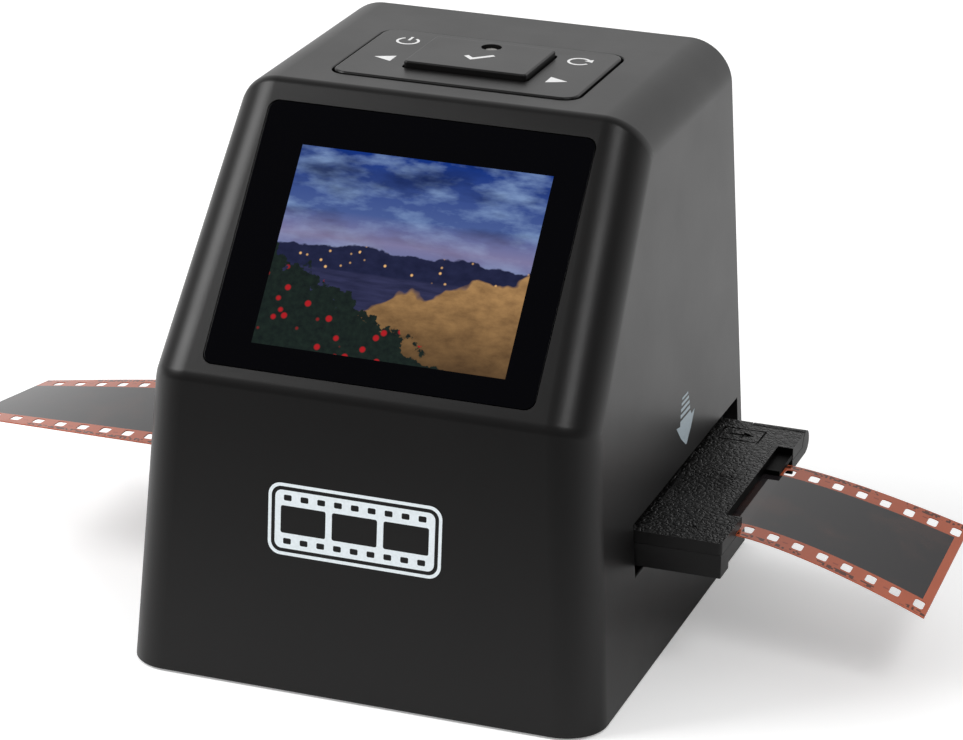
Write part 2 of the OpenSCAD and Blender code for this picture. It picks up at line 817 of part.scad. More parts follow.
module lcd_frame() {
  outer_w = lcd_w + 2 * (lcd_gap + lcd_frame_wall);
  outer_l = lcd_l + 2 * lcd_gap + 2 * lcd_frame_wall;
  color(inner_colour) on_screen(picture_x, picture_v, lcd_back + lcd_lip) difference() {
    translate([-outer_w / 2, -outer_l / 2, 0])
      cube([outer_w, outer_l, lcd_lip + lcd_t + lcd_gap]);
    translate([-lcd_w / 2 - lcd_gap, -lcd_l / 2 - lcd_gap, lcd_lip])
      cube([lcd_w + 2 * lcd_gap, lcd_l + 2 * lcd_gap, lcd_t + lcd_gap + past]);
    translate([-lcd_w / 2 + lcd_border, -lcd_l / 2 + lcd_border, -past])
      cube([picture_w, picture_l, lcd_lip + 2 * past]);
  }
}

// A flat ribbon of width w, centred on x, whose middle follows points in the Y-Z plane
module ribbon(points, w, x) {
  translate([x, 0, 0]) rotate([90, 0, 90]) linear_extrude(height = w, center = true) {
    for (i = [0 : len(points) - 2]) {
      way = points[i + 1] - points[i];
      translate(points[i]) rotate(atan2(way[1], way[0]))
        translate([0, -flex_t / 2]) square([norm(way), flex_t]);
    }
    for (i = [1 : len(points) - 2]) translate(points[i]) circle(flex_t / 2);
  }
}

module lcd_flex() {
  depth = lcd_back + lcd_lip + flex_t / 2;
  v = picture_v + flex_start;
  low = [
    knee_y + v * cos(screen_tilt) + depth * sin(screen_tilt),
    knee_h + v * sin(screen_tilt) - depth * cos(screen_tilt)
  ];
  high = low + flex_land * [cos(screen_tilt), sin(screen_tilt)];
  land = main_board_z1 + flex_t / 2;
  color(flex_colour) ribbon([
    low, high, [high[0] + flex_bend, high[1] - flex_bend], [high[0] + flex_bend, land + flex_bend],
    [main_front_y + flex_in, land], [main_front_y + flex_in + flex_pad, land]
  ], flex_w, 0);
}

// ---- keys ----
module key_plate() {
  color(shell_colour) difference() {
    union() {
      translate([0, key_y, plate_z0]) rounded_plate(plate_w, plate_d, plate_t, plate_r);
      for (p = corner_legs) rod(p[0], p[1], plunger_top + key_travel_gap, plate_z0, leg_r);
      for (side = [-1, 1])
        translate([side * (rocker_side + rocker_bar + lug_gap + lug_t / 2), key_y, 0])
          span([-lug_t / 2, -lug_w / 2, rocker_h - rocker_pin_r - lug_ring],
            [lug_t / 2, lug_w / 2, plate_z0]);
    }
    translate([0, ok_y, plate_z0 - past])
      rounded_plate(ok_w + 2 * ok_gap, ok_d + 2 * ok_gap, plate_t + 2 * past, ok_r + ok_gap);
    rod_x(-far, far, key_y, rocker_h, rocker_pin_r + run_gap);
  }
}

// A ring with pins along X for the key plate and pins along Y for the key frame
module key_rocker() {
  z0 = rocker_h - rocker_t / 2;
  z1 = rocker_h + rocker_t / 2;
  color(inner_colour) {
    difference() {
      span([-rocker_side - rocker_bar, key_y - rocker_front - rocker_bar, z0],
        [rocker_side + rocker_bar, key_y + rocker_rear + rocker_bar, z1]);
      span([-rocker_side, key_y - rocker_front, z0 - past],
        [rocker_side, key_y + rocker_rear, z1 + past]);
    }
    for (side = [-1, 1]) {
      start = rocker_side + rocker_bar - pin_root;
      end = rocker_side + rocker_bar + lug_gap + lug_t;
      rod_x(min(side * start, side * end), max(side * start, side * end), key_y, rocker_h,
        rocker_pin_r);
    }
    rod_y(0, key_y - rocker_front - rocker_bar - lug_gap - post_t,
      key_y - rocker_front - rocker_bar + pin_root, rocker_h, rocker_pin_r);
    rod_y(0, key_y + rocker_rear + rocker_bar - pin_root,
      key_y + rocker_rear + rocker_bar + lug_gap + post_t, rocker_h, rocker_pin_r);
  }
}

module ok_key() {
  color(shell_colour) difference() {
    union() {
      translate([0, ok_y, ok_z0]) rounded_plate(ok_w, ok_d, ok_z1 - ok_z0, ok_r);
      translate([0, ok_y, ok_z0])
        rounded_plate(ok_w + 2 * ok_flange_lip, ok_d + 2 * ok_flange_lip, ok_flange_t, ok_r);
      rod(0, key_y, plunger_top + key_travel_gap, ok_z0 + ok_flange_t, stem_r);
    }
    rod(light_x, light_y, ok_z0 - past, ok_z1 + past, light_hole_r);
  }
}

// Carries the rocker's pins, guides the middle key and holds the key board
module key_frame() {
  rear_post = rocker_rear + rocker_bar + lug_gap;
  front_post = rocker_front + rocker_bar + lug_gap;
  color(inner_colour) difference() {
    union() {
      span([-frame_half_w, key_y - frame_front, frame_z0], [frame_half_w, key_y + frame_rear, frame_z1]);
      rod(0, key_y, frame_z1, ok_z0 - key_travel_gap - tower_gap, stem_r + run_gap + tower_wall);
      span([-lug_w / 2, key_y - front_post - post_t, frame_z1],
        [lug_w / 2, key_y - front_post, rocker_h + rocker_pin_r + lug_ring]);
      span([-lug_w / 2, key_y + rear_post, frame_z1],
        [lug_w / 2, key_y + rear_post + post_t, rocker_h + rocker_pin_r + lug_ring]);
      for (p = spacers) rod(p[0], p[1], key_board_z1, frame_z0, spacer_r);
    }
    rod(0, key_y, frame_z0 - past, ok_z0, stem_r + run_gap);
    for (p = corner_legs) rod(p[0], p[1], frame_z0 - past, frame_z1 + past, plunger_r + leg_room);
    rod(light_x, light_y, frame_z0 - past, frame_z1 + past, light_stem_r + run_gap);
    rod_y(0, key_y - far, key_y + far, rocker_h, rocker_pin_r + run_gap);
    for (b = key_bosses) rod(b[0], b[1], frame_z0 - past, frame_z1 + past, small_r + clear_gap);
    for (p = spacers) rod(p[0], p[1], key_board_z1 - past, frame_z1 - tip_gap, small_r + run_gap);
  }
}

module key_screws() {
  color(steel_colour) for (b = key_bosses)
    screw_up(b[0], b[1], frame_z0, ceiling_h - key_boss_end - tip_gap - frame_z0, small_r,
      small_head_r, small_head_t);
}

module key_board() {
  color(board_colour) difference() {
    span([-key_board_half_w, key_y - key_board_front, key_board_z0],
      [key_board_half_w, key_y + key_board_rear, key_board_z1]);
    for (p = spacers) rod(p[0], p[1], key_board_z0 - past, key_board_z1 + past, small_r + clear_gap);
  }
}

module key_board_screws() {
  color(steel_colour) for (p = spacers)
    screw_up(p[0], p[1], key_board_z0, board_t + key_screw_bite, small_r, small_head_r,
      small_head_t);
}

module tact_switches() {
  for (p = concat(corner_legs, [[0, key_y]])) {
    color([0.15, 0.15, 0.16]) translate([p[0], p[1], key_board_z1 + switch_h / 2])
      cube([switch_w, switch_w, switch_h], center = true);
    color([0.85, 0.82, 0.75]) rod(p[0], p[1], key_board_z1 + switch_h, plunger_top, plunger_r);
  }
}

module status_led() {
  color([0.9, 0.95, 0.9]) translate([light_x, light_y, key_board_z1 + key_led_h / 2])
    cube([key_led_w, key_led_w, key_led_h], center = true);
}

module light_pipe() {
  color([0.8, 0.85, 0.88]) {
    rod(light_x, light_y, key_board_z1 + key_led_h, plate_z0 + light_head_lift, light_stem_r);
    rod(light_x, light_y, plate_z0 + light_head_lift, ok_z1 - light_sink, light_head_r);
  }
}

module key_flex() {
  y0 = key_y + key_board_rear - flex_land + flex_bend;
  y1 = key_y + key_board_rear + flex_bend;
  top = key_board_z0 - flex_t / 2;
  low = main_board_z1 + flex_t / 2;
  color(flex_colour) ribbon([
    [y0, top], [y1 - flex_bend, top], [y1, top - flex_bend], [y1, low + flex_bend],
    [y1 - flex_bend, low], [y0, low]
  ], small_flex_w, key_flex_x);
}

// ---- boards ----
module main_board() {
  color(board_colour) difference() {
    span([-main_board_w / 2, main_front_y, main_board_h], [main_board_w / 2, main_rear_y, main_board_z1]);
    for (p = standoffs) rod(p[0], p[1], main_board_h - past, main_board_z1 + past, small_r + clear_gap);
  }
}

module board_standoffs() {
  color([0.78, 0.65, 0.35]) for (p = standoffs) difference() {
    rod(p[0], p[1], tunnel_top_h, main_board_h, standoff_r);
    rod(p[0], p[1], tunnel_top_h + standoff_floor, main_board_h + past, small_r + run_gap);
  }
}

module board_screws() {
  color(steel_colour) for (p = standoffs)
    screw_down(p[0], p[1], main_board_z1, board_t + board_screw_bite, small_r, small_head_r,
      small_head_t);
}

module processor() {
  color([0.08, 0.08, 0.09]) translate([-chip_w / 2, chip_y - chip_w / 2, main_board_z1])
    cube([chip_w, chip_w, chip_t]);
}

module memory_chips() {
  color([0.10, 0.10, 0.11]) for (side = [-1, 1])
    translate([side * memory_x - memory_w / 2, chip_y - memory_d / 2, main_board_z1])
      cube([memory_w, memory_d, chip_t]);
}

module usb_socket() {
  color(steel_colour) difference() {
    span([usb_x - usb_w / 2, socket_front_y - usb_l, main_board_z1],
      [usb_x + usb_w / 2, socket_front_y, main_board_z1 + usb_h]);
    span([usb_x - usb_w / 2 + usb_wall, socket_front_y - usb_l + socket_back, main_board_z1 + usb_wall],
      [usb_x + usb_w / 2 - usb_wall, socket_front_y + past, main_board_z1 + usb_h - usb_wall]);
  }
}

module card_socket() {
  color(steel_colour) difference() {
    span([card_x - card_w / 2, socket_front_y - card_l, main_board_z1],
      [card_x + card_w / 2, socket_front_y, main_board_z1 + card_h]);
    span([card_x - card_w / 2 + card_wall, socket_front_y - card_l + socket_back, main_board_z1 + card_wall],
      [card_x + card_w / 2 - card_wall, socket_front_y + past,
        main_board_z1 + card_wall + card_opening_h]);
  }
}

// ---- tray guide ----
module tray_guide() {
  front = guide_front_y - guide_t;
  color(inner_colour) difference() {
    union() {
      difference() {
        span([-guide_half_w, front, floor_z0], [guide_half_w, guide_end_y, roof_z1]);
        span([-far, guide_front_y, slot_bottom_h], [far, guide_back_y, slot_top_h]);
      }
      // rails that carry the tray's front and back edges
      span([-guide_half_w, guide_front_y, slot_bottom_h],
        [guide_half_w, tray_front_y + rail_w - guide_gap, near_rail_top]);
      span([-guide_half_w, hinge_y - back_rail_w + guide_gap, slot_bottom_h],
        [guide_half_w, guide_back_y, back_rail_top]);
      for (p = guide_legs) rod(p[0], p[1], base_z1, floor_z0, leg_post_r);
    }
    // light windows in the floor and the roof, with a seat for the diffuser
    translate([0, film_y, floor_z0 - past]) rounded_plate(light_w, light_d, 2 * guide_t, light_r);
    translate([-diffuser_w / 2 - window_clear, film_y - diffuser_d / 2 - window_clear,
      diffuser_z1 - diffuser_t])
      cube([diffuser_w + 2 * window_clear, diffuser_d + 2 * window_clear, diffuser_t + past]);
    translate([0, film_y, slot_top_h - past])
      rounded_plate(light_w, light_d, guide_t + 2 * past, light_r);
    for (p = guide_legs) rod(p[0], p[1], base_z1 - past, base_z1 + base_boss_h, screw_r + run_gap);
    for (side = [-1, 1])
      rod(side * (tunnel_out_w / 2 + tunnel_tab / 2), film_y, slot_top_h - past, roof_z1 + past,
        small_r + run_gap);
  }
}

module guide_screws() {
  color(steel_colour) for (p = guide_legs)
    screw_up(p[0], p[1], base_z1 - head_sink, base_boss_h - boss_end, screw_r, head_r, head_t);
}

// ---- optics ----
module light_tunnel() {
  color([0.07, 0.07, 0.08]) difference() {
    union() {
      translate([-tunnel_out_w / 2, film_y - tunnel_out_d / 2, roof_z1])
        cube([tunnel_out_w, tunnel_out_d, tunnel_top_h - roof_z1]);
      translate([-tunnel_out_w / 2 - tunnel_tab, film_y - tunnel_tab, roof_z1])
        cube([tunnel_out_w + 2 * tunnel_tab, 2 * tunnel_tab, tunnel_tab_t]);
    }
    translate([-tunnel_out_w / 2 + tunnel_wall, film_y - tunnel_out_d / 2 + tunnel_wall, roof_z1 - past])
      cube([tunnel_out_w - 2 * tunnel_wall, tunnel_out_d - 2 * tunnel_wall,
        tunnel_top_h - tunnel_wall - roof_z1 + past]);
    rod(0, film_y, tunnel_top_h - 2 * tunnel_wall, tunnel_top_h + past, barrel_lens_r + clear_gap);
    for (side = [-1, 1])
      rod(side * (tunnel_out_w / 2 + tunnel_tab / 2), film_y, roof_z1 - past,
        roof_z1 + tunnel_tab_t + past, small_r + clear_gap);
  }
}

module tunnel_screws() {
  color(steel_colour) for (side = [-1, 1])
    screw_down(side * (tunnel_out_w / 2 + tunnel_tab / 2), film_y, roof_z1 + tunnel_tab_t,
      tunnel_tab_t + guide_t - screw_short, small_r, small_head_r, small_head_t);
}

module lens_holder() {
  color([0.09, 0.09, 0.10]) difference() {
    union() {
      translate([-holder_w / 2 - holder_lip, film_y - holder_w / 2 - holder_lip, tunnel_top_h])
        cube([holder_w + 2 * holder_lip, holder_w + 2 * holder_lip, holder_flange_t]);
      translate([-holder_w / 2, film_y - holder_w / 2, tunnel_top_h])
        cube([holder_w, holder_w, holder_h]);
    }
    rod(0, film_y, tunnel_top_h - past, camera_board_z0 + past, barrel_lens_r + run_gap);
    translate([-sensor_w / 2 - sensor_gap, film_y - sensor_d / 2 - sensor_gap,
      camera_board_z0 - sensor_room])
      cube([sensor_w + 2 * sensor_gap, sensor_d + 2 * sensor_gap, sensor_room + past]);
    for (s = [-1, 1])
      rod(s * camera_screw, film_y + s * camera_screw, tunnel_top_h + holder_screw_floor,
        camera_board_z0 + past,
        small_r + run_gap);
  }
}

module lens_barrel() {
  color([0.12, 0.12, 0.13]) difference() {
    rod(0, film_y, barrel_z0, barrel_z1, barrel_lens_r);
    rod(0, film_y, barrel_z0 - past, barrel_z0 + glass_set + glass_t, glass_r + run_gap);
    rod(0, film_y, barrel_z0, barrel_z1 + past, glass_r - glass_lip);
  }
}

module lens_glass() {
  color([0.35, 0.45, 0.6]) rod(0, film_y, barrel_z0 + glass_set, barrel_z0 + glass_set + glass_t, glass_r);
}

module camera_board() {
  color(board_colour) difference() {
    translate([-camera_board_w / 2, film_y - camera_board_w / 2, camera_board_z0])
      cube([camera_board_w, camera_board_w, board_t]);
    for (s = [-1, 1])
      rod(s * camera_screw, film_y + s * camera_screw, camera_board_z0 - past,
        camera_board_z1 + past, small_r + clear_gap);
  }
}

module image_sensor() {
  color([0.25, 0.2, 0.3]) translate([-sensor_w / 2, film_y - sensor_d / 2, camera_board_z0 - sensor_t])
    cube([sensor_w, sensor_d, sensor_t]);
}

module camera_screws() {
  color(steel_colour) for (s = [-1, 1])
    screw_down(s * camera_screw, film_y + s * camera_screw, camera_board_z1,
      board_t + camera_screw_bite, small_r,
      small_head_r, small_head_t);
}

module camera_flex() {
  y0 = film_y + camera_board_w / 2;
  top = main_board_h - flex_t / 2;
  low = camera_board_z1 + flex_t / 2;
  color(flex_colour) ribbon([
    [y0 - flex_land, low], [y0 + flex_run, low], [y0 + flex_bend, (low + top) / 2],
    [y0 + flex_run, top], [y0 - flex_land, top]
  ], small_flex_w, 0);
}

// ---- backlight ----
module backlight_housing() {
  out_w = diffuser_w + 2 * backlight_wall;
  out_d = diffuser_d + 2 * backlight_wall;
  color([0.88, 0.88, 0.86]) difference() {
    translate([-out_w / 2, film_y - out_d / 2, backlight_h0])
      cube([out_w, out_d, floor_z0 - backlight_h0]);
    translate([-out_w / 2 + backlight_wall, film_y - out_d / 2 + backlight_wall, led_board_z0])
      cube([diffuser_w, diffuser_d, far]);
    // way out for the ribbon of the lamp board
    span([led_flex_x - small_flex_w / 2 - flex_room, film_y - out_d, led_board_z0],
      [led_flex_x + small_flex_w / 2 + flex_room, film_y, led_board_z0 + board_t + 2 * flex_room]);
  }
}

module diffuser_panel() {
  color([0.95, 0.95, 0.93]) translate([-diffuser_w / 2, film_y - diffuser_d / 2, diffuser_z1 - diffuser_t])
    cube([diffuser_w, diffuser_d, diffuser_t]);
}

module led_board() {
  w = diffuser_w - 2 * led_board_gap;
  d = diffuser_d - 2 * led_board_gap;
  color([0.9, 0.9, 0.88]) translate([-w / 2, film_y - d / 2, led_board_z0]) cube([w, d, board_t]);
}

module backlight_leds() {
  color([0.98, 0.95, 0.6]) for (x = [-1, 0, 1], y = [-1, 1])
    translate([x * light_w / 3, film_y + y * light_d / 4, led_board_z0 + board_t + led_h / 2])
      cube([led_w, led_d, led_h], center = true);
}

// Runs from the lamp board out of its housing, up in front of the guide and the
// light tunnel, to the underside of the main board
module led_flex() {
  low = led_board_z0 + board_t + flex_t / 2;
  top = main_board_h - flex_t / 2;
  guide_side = guide_front_y - guide_t - flex_run;
  tunnel_side = film_y - tunnel_out_d / 2 - flex_run;
  color(flex_colour) ribbon([
    [film_y - diffuser_d / 2 + flex_land, low], [guide_side, low],
    [guide_side, roof_z1 + flex_bend], [tunnel_side, roof_z1 + 2 * flex_bend],
    [tunnel_side, top], [tunnel_side + flex_land, top]
  ], small_flex_w, led_flex_x);
}

// ---- film tray ----
// The engraved box on the lid, at its right end
box_end = 6.8;
box_right = tray_right - box_end;
box_w = 8.4;
box_d = 6.2;
box_line = 0.4;
box_y = 23.5;
// The raised bar across the lid, and the thumb recess, from the tray's right end
bar_w = 0.8;
bar_h = 0.2;
bar_front = 21.3;
bar_back = 14.6;
thumb_from = 16;
thumb_to = 6;
thumb_y = 4.4;
// The tray's picture windows are a little larger than the picture
window_room = 0.4;
window_corner = 0.8;
pin_end = 0.5;
// The pin's hole is closed at the tray's right end by this much
pin_cap = 0.4;
// A low ledge of the lid keeps the film down at the back of the notch
ledge_d = 8;
ledge_t = 0.6;

module tray_notch(z0, z1) {
  span([tray_right - notch_x, film_y - notch_front, z0], [tray_right + past, film_y + notch_back, z1]);
}

module picture_window(z0, z1) {
  translate([0, film_y, z0]) rounded_plate(frame_w + window_room, frame_h + window_room,
    z1 - z0, window_corner);
}

module tray_base() {
  color(tray_colour) difference() {
    union() {
      difference() {
        span([-tray_left, tray_front_y, rail_bottom_h], [tray_right, hinge_y, seam_h]);
        span([-far, tray_front_y + rail_w, 0], [far, hinge_y + past, floor_bottom_h]);
        span([-far, hinge_y - back_rail_w, 0], [far, hinge_y + past, back_bottom_h]);
        for (k = lid_knuckles)
          rod_x(k[0] - knuckle_gap, k[0] + k[1] + knuckle_gap, hinge_y, hinge_z, barrel_r + barrel_gap);
      }
      for (k = base_knuckles) rod_x(k[0], k[0] + k[1], hinge_y, hinge_z, barrel_r);
    }
    rod_x(-far, tray_right - pin_cap, hinge_y, hinge_z, hinge_pin_r + run_gap);
    picture_window(0, seam_h + past);
    tray_notch(0, seam_h + past);
  }
}

module tray_lid() {
  color(tray_colour) difference() {
    union() {
      difference() {
        span([-tray_left, tray_front_y, lid_z0], [tray_right, hinge_y, tray_top_h]);
        for (k = base_knuckles)
          rod_x(k[0] - knuckle_gap, k[0] + k[1] + knuckle_gap, hinge_y, hinge_z, barrel_r + barrel_gap);
      }
      for (k = lid_knuckles) rod_x(k[0], k[0] + k[1], hinge_y, hinge_z, barrel_r);
      // a small raised bar that marks the end of the lid
      span([box_right - bar_w / 2, film_y - bar_front, tray_top_h - past],
        [box_right + bar_w / 2, film_y - bar_back, tray_top_h + bar_h]);
    }
    rod_x(-far, far, hinge_y, hinge_z, hinge_pin_r + run_gap);
    picture_window(lid_z0 - past, tray_top_h + past);
    difference() {
      tray_notch(lid_z0 - past, tray_top_h + past);
      span([tray_right - notch_x - past, film_y + notch_back - ledge_d, seam_h + channel_h],
        [tray_right, film_y + notch_back + past, seam_h + channel_h + ledge_t]);
    }
    span([-far, film_y - film_w / 2 - film_side_gap, 0],
      [far, film_y + film_w / 2 + film_side_gap, seam_h + channel_h]);
    thumb_recess();
    engraved_box();
  }
}

// A shallow scoop for the thumb, across the lid's right end
module thumb_recess() {
  r = (thumb_half * thumb_half + thumb_depth * thumb_depth) / (2 * thumb_depth);
  rod_x(tray_right - thumb_from, tray_right - thumb_to, film_y - thumb_y,
    tray_top_h - thumb_depth + r, r);
}

module engraved_box() {
  translate([box_right - box_w / 2, film_y + box_y, tray_top_h - engrave]) difference() {
    translate([-box_w / 2, -box_d / 2, 0]) cube([box_w, box_d, past + engrave]);
    translate([-box_w / 2 + box_line, -box_d / 2 + box_line, -past])
      cube([box_w - 2 * box_line, box_d - 2 * box_line, 3 * past]);
  }
}

module tray_hinge_pin() {
  color(steel_colour) rod_x(-tray_left + pin_end, tray_right - pin_end, hinge_y,
    hinge_z, hinge_pin_r);
}

// ---- film ----
// The strip lies flat inside the tray; past its ends it droops along a curve that is
// deeper at one edge than at the other.
flat_right = tray_right;
feed_room = 0.5;
flat_left = -tray_left - feed - feed_room;
film_steps = 14;
function blend(a, b, t) = a + (b - a) * t;
function droop(x, across) =
  x > flat_right
    ? blend(droop_right_front, droop_right_back, across)
      * pow((x - flat_right) / (film_reach - flat_right), curl_right)
  : x < flat_left
    ? blend(droop_left_front, droop_left_back, across)
      * pow((flat_left - x) / (film_reach + flat_left), curl_left)
  : 0;

film_xs = concat(
  [for (i = [0 : film_steps]) -film_reach + (flat_left + film_reach) * i / film_steps],
  [for (i = [0 : film_steps]) flat_right + (film_reach - flat_right) * i / film_steps]
);
film_across = 4;

module film_strip() {
  n = len(film_xs);
  m = film_across + 1;
  top = [for (x = film_xs, j = [0 : film_across])
    [x, film_y - film_w / 2 + film_w * j / film_across, film_z1 - droop(x, j / film_across)]];
  under = [for (p = top) p - [0, 0, film_t]];
  points = concat(top, under);
  s = n * m;
  faces = concat(
    [for (i = [0 : n - 2], j = [0 : m - 2]) [i * m + j, i * m + j + 1, (i + 1) * m + j + 1]],
    [for (i = [0 : n - 2], j = [0 : m - 2]) [i * m + j, (i + 1) * m + j + 1, (i + 1) * m + j]],
    [for (i = [0 : n - 2], j = [0 : m - 2]) [s + i * m + j, s + (i + 1) * m + j + 1, s + i * m + j + 1]],
    [for (i = [0 : n - 2], j = [0 : m - 2]) [s + i * m + j, s + (i + 1) * m + j, s + (i + 1) * m + j + 1]],
    [for (i = [0 : n - 2]) [i * m, (i + 1) * m, s + (i + 1) * m]],
    [for (i = [0 : n - 2]) [i * m, s + (i + 1) * m, s + i * m]],
    [for (i = [0 : n - 2]) [i * m + m - 1, s + (i + 1) * m + m - 1, (i + 1) * m + m - 1]],
    [for (i = [0 : n - 2]) [i * m + m - 1, s + i * m + m - 1, s + (i + 1) * m + m - 1]],
    [for (j = [0 : m - 2]) [j, s + j + 1, j + 1]],
    [for (j = [0 : m - 2]) [j, s + j, s + j + 1]],
    [for (j = [0 : m - 2]) [(n - 1) * m + j, (n - 1) * m + j + 1, s + (n - 1) * m + j + 1]],
    [for (j = [0 : m - 2]) [(n - 1) * m + j, s + (n - 1) * m + j + 1, s + (n - 1) * m + j]]
  );
  color(film_colour) polyhedron(points, faces);
}

main_housing();
rear_cover();
base_plate();
rubber_feet();
base_screws();
rear_screws();
screen_window();
lcd_panel();
lcd_frame();
lcd_flex();
key_plate();
key_rocker();
ok_key();
key_frame();
key_screws();
key_board();
key_board_screws();
tact_switches();
status_led();
light_pipe();
key_flex();
main_board();
board_standoffs();
board_screws();
processor();
memory_chips();
usb_socket();
card_socket();
tray_guide();
guide_screws();
light_tunnel();
tunnel_screws();
lens_holder();
lens_barrel();
lens_glass();
camera_board();
image_sensor();
camera_screws();
camera_flex();
backlight_housing();
diffuser_panel();
led_board();
backlight_leds();
led_flex();
tray_base();
tray_lid();
tray_hinge_pin();
film_strip();
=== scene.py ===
# %% [markdown]
# # A film negative scanner
# This is a small table-top machine for strips of 35 mm film. Its body is one black
# moulding with a colour screen on its sloping face and a rocking key plate on top. A film
# tray goes through a slot in both sides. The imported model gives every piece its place, and
# this file gives the pieces that can be seen their finer form and all pieces their finish.

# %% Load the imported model
from math import atan2, cos, degrees, hypot, radians, sin, sqrt

import bmesh
import bpy
from mathutils import Matrix, Vector


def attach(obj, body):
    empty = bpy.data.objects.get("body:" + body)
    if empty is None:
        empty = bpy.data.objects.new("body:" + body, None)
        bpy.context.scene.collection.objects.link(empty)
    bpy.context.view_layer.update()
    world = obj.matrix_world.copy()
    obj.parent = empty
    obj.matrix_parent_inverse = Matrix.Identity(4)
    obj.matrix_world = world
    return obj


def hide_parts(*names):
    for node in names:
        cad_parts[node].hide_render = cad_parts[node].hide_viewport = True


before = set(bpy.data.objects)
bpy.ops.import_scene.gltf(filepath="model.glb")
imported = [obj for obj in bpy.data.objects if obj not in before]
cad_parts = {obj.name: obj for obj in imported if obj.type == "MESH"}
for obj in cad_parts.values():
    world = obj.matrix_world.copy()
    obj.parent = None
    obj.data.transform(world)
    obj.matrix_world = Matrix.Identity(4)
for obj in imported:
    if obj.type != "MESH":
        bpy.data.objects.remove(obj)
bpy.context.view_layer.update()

MM = 0.001

# %% [markdown]
# ## The camera
# The photograph was taken from the front right, a little above the machine, with a long
# lens from about 0.7 m away. A long lens keeps upright edges nearly parallel, which is how
# a product photograph looks. The camera's place and turn were worked out from corners whose
# real place is known, so they are written as an azimuth, an elevation and a small roll.

# %% Camera
CAMERA_PLACE = (0.22466, -0.60979, 0.30294)
CAMERA_AZIMUTH = radians(19.674)
CAMERA_ELEVATION = radians(21.467)
CAMERA_ROLL = radians(0.811)
PHOTO_WIDTH = 963
FOCAL_PIXELS = 3753.07
SENSOR_WIDTH = 36

across = Vector((cos(CAMERA_AZIMUTH), sin(CAMERA_AZIMUTH), 0))
backwards = Vector((sin(CAMERA_AZIMUTH) * cos(CAMERA_ELEVATION),
                    -cos(CAMERA_AZIMUTH) * cos(CAMERA_ELEVATION),
                    sin(CAMERA_ELEVATION)))
upwards = backwards.cross(across)
right = cos(CAMERA_ROLL) * across + sin(CAMERA_ROLL) * upwards
up = -sin(CAMERA_ROLL) * across + cos(CAMERA_ROLL) * upwards

bpy.ops.object.camera_add()
camera = bpy.context.object
camera.name = "photo_camera"
camera_turn = Matrix((right, up, backwards)).transposed().to_4x4()
camera.matrix_world = Matrix.Translation(CAMERA_PLACE) @ camera_turn
camera.data.sensor_fit = "HORIZONTAL"
camera.data.sensor_width = SENSOR_WIDTH
camera.data.lens = FOCAL_PIXELS / PHOTO_WIDTH * SENSOR_WIDTH
bpy.context.scene.camera = camera
print("lens", round(camera.data.lens, 1), "mm")

# %% [markdown]
# ## Tools for modelling
# Every piece below starts as a primitive at its size and place and is then shaped in edit
# mode. These short functions hold the steps that come back: select by place, round edges,
# slice along a plane, cut one solid with another, and shade. All their sizes are in
# millimetres.

# %% Modelling tools
HAIR = 0.01


def deselect():
    """Leaves edit mode and selects nothing."""
    if bpy.context.object and bpy.context.object.mode != "OBJECT":
        bpy.ops.object.mode_set(mode="OBJECT")
    bpy.ops.object.select_all(action="DESELECT")


def activate(piece):
    deselect()
    piece.select_set(True)
    bpy.context.view_layer.objects.active = piece


def edit(piece, kind="VERT", select="SELECT"):
    """Goes into edit mode on a piece."""
    activate(piece)
    bpy.ops.object.mode_set(mode="EDIT")
    bpy.ops.mesh.select_mode(type=kind)
    bpy.ops.mesh.select_all(action=select)


def leave():
    bpy.ops.object.mode_set(mode="OBJECT")


def choose(piece, kind, test):
    """In edit mode, selects the faces or edges that pass a test.

    A face's test gets its middle and its normal. An edge's test gets its two ends."""
    edit(piece, kind, "DESELECT")
    mesh = bmesh.from_edit_mesh(piece.data)
    count = 0
    for part in mesh.faces if kind == "FACE" else mesh.edges:
        if kind == "FACE":
            wanted = test(part.calc_center_median() / MM, part.normal)
        else:
            wanted = test(*[v.co / MM for v in part.verts])
        if wanted:
            part.select_set(True)
            count += 1
    mesh.select_flush_mode()
    bmesh.update_edit_mesh(piece.data)
    return count


def both(test):
    """Makes a test for an edge from a test that both of its ends have to pass."""
    return lambda a, b: test(a) and test(b)


def above(height):
    """Makes a test for edges that lie at a height or above it."""
    return both(lambda p: p.z > height - HAIR)


def near(value, wanted, reach=HAIR):
    return abs(value - wanted) < reach


def apply_place(piece):
    activate(piece)
    bpy.ops.object.transform_apply(location=True, rotation=True, scale=True)
    return piece


def block(name, low, high):
    """A box between two corners."""
    deselect()
    middle = [(a + b) / 2 * MM for a, b in zip(low, high)]
    size = [(b - a) * MM for a, b in zip(low, high)]
    bpy.ops.mesh.primitive_cube_add(size=1, location=middle, scale=size)
    piece = bpy.context.object
    piece.name = name
    return apply_place(piece)


def rod(name, start, end, radius, sides=48):
    """A round rod between two points."""
    deselect()
    start, end = Vector(start) * MM, Vector(end) * MM
    way = end - start
    bpy.ops.mesh.primitive_cylinder_add(
        vertices=sides, radius=radius * MM, depth=way.length, location=(start + end) / 2,
        rotation=way.to_track_quat("Z", "Y").to_euler())
    piece = bpy.context.object
    piece.name = name
    return apply_place(piece)


def round_edges(piece, width, segments, test):
    """Rounds the edges that pass the test."""
    count = choose(piece, "EDGE", test)
    if count:
        bpy.ops.mesh.bevel(offset=width * MM, segments=segments, profile=0.5,
                           affect="EDGES", clamp_overlap=True)
    leave()
    return count


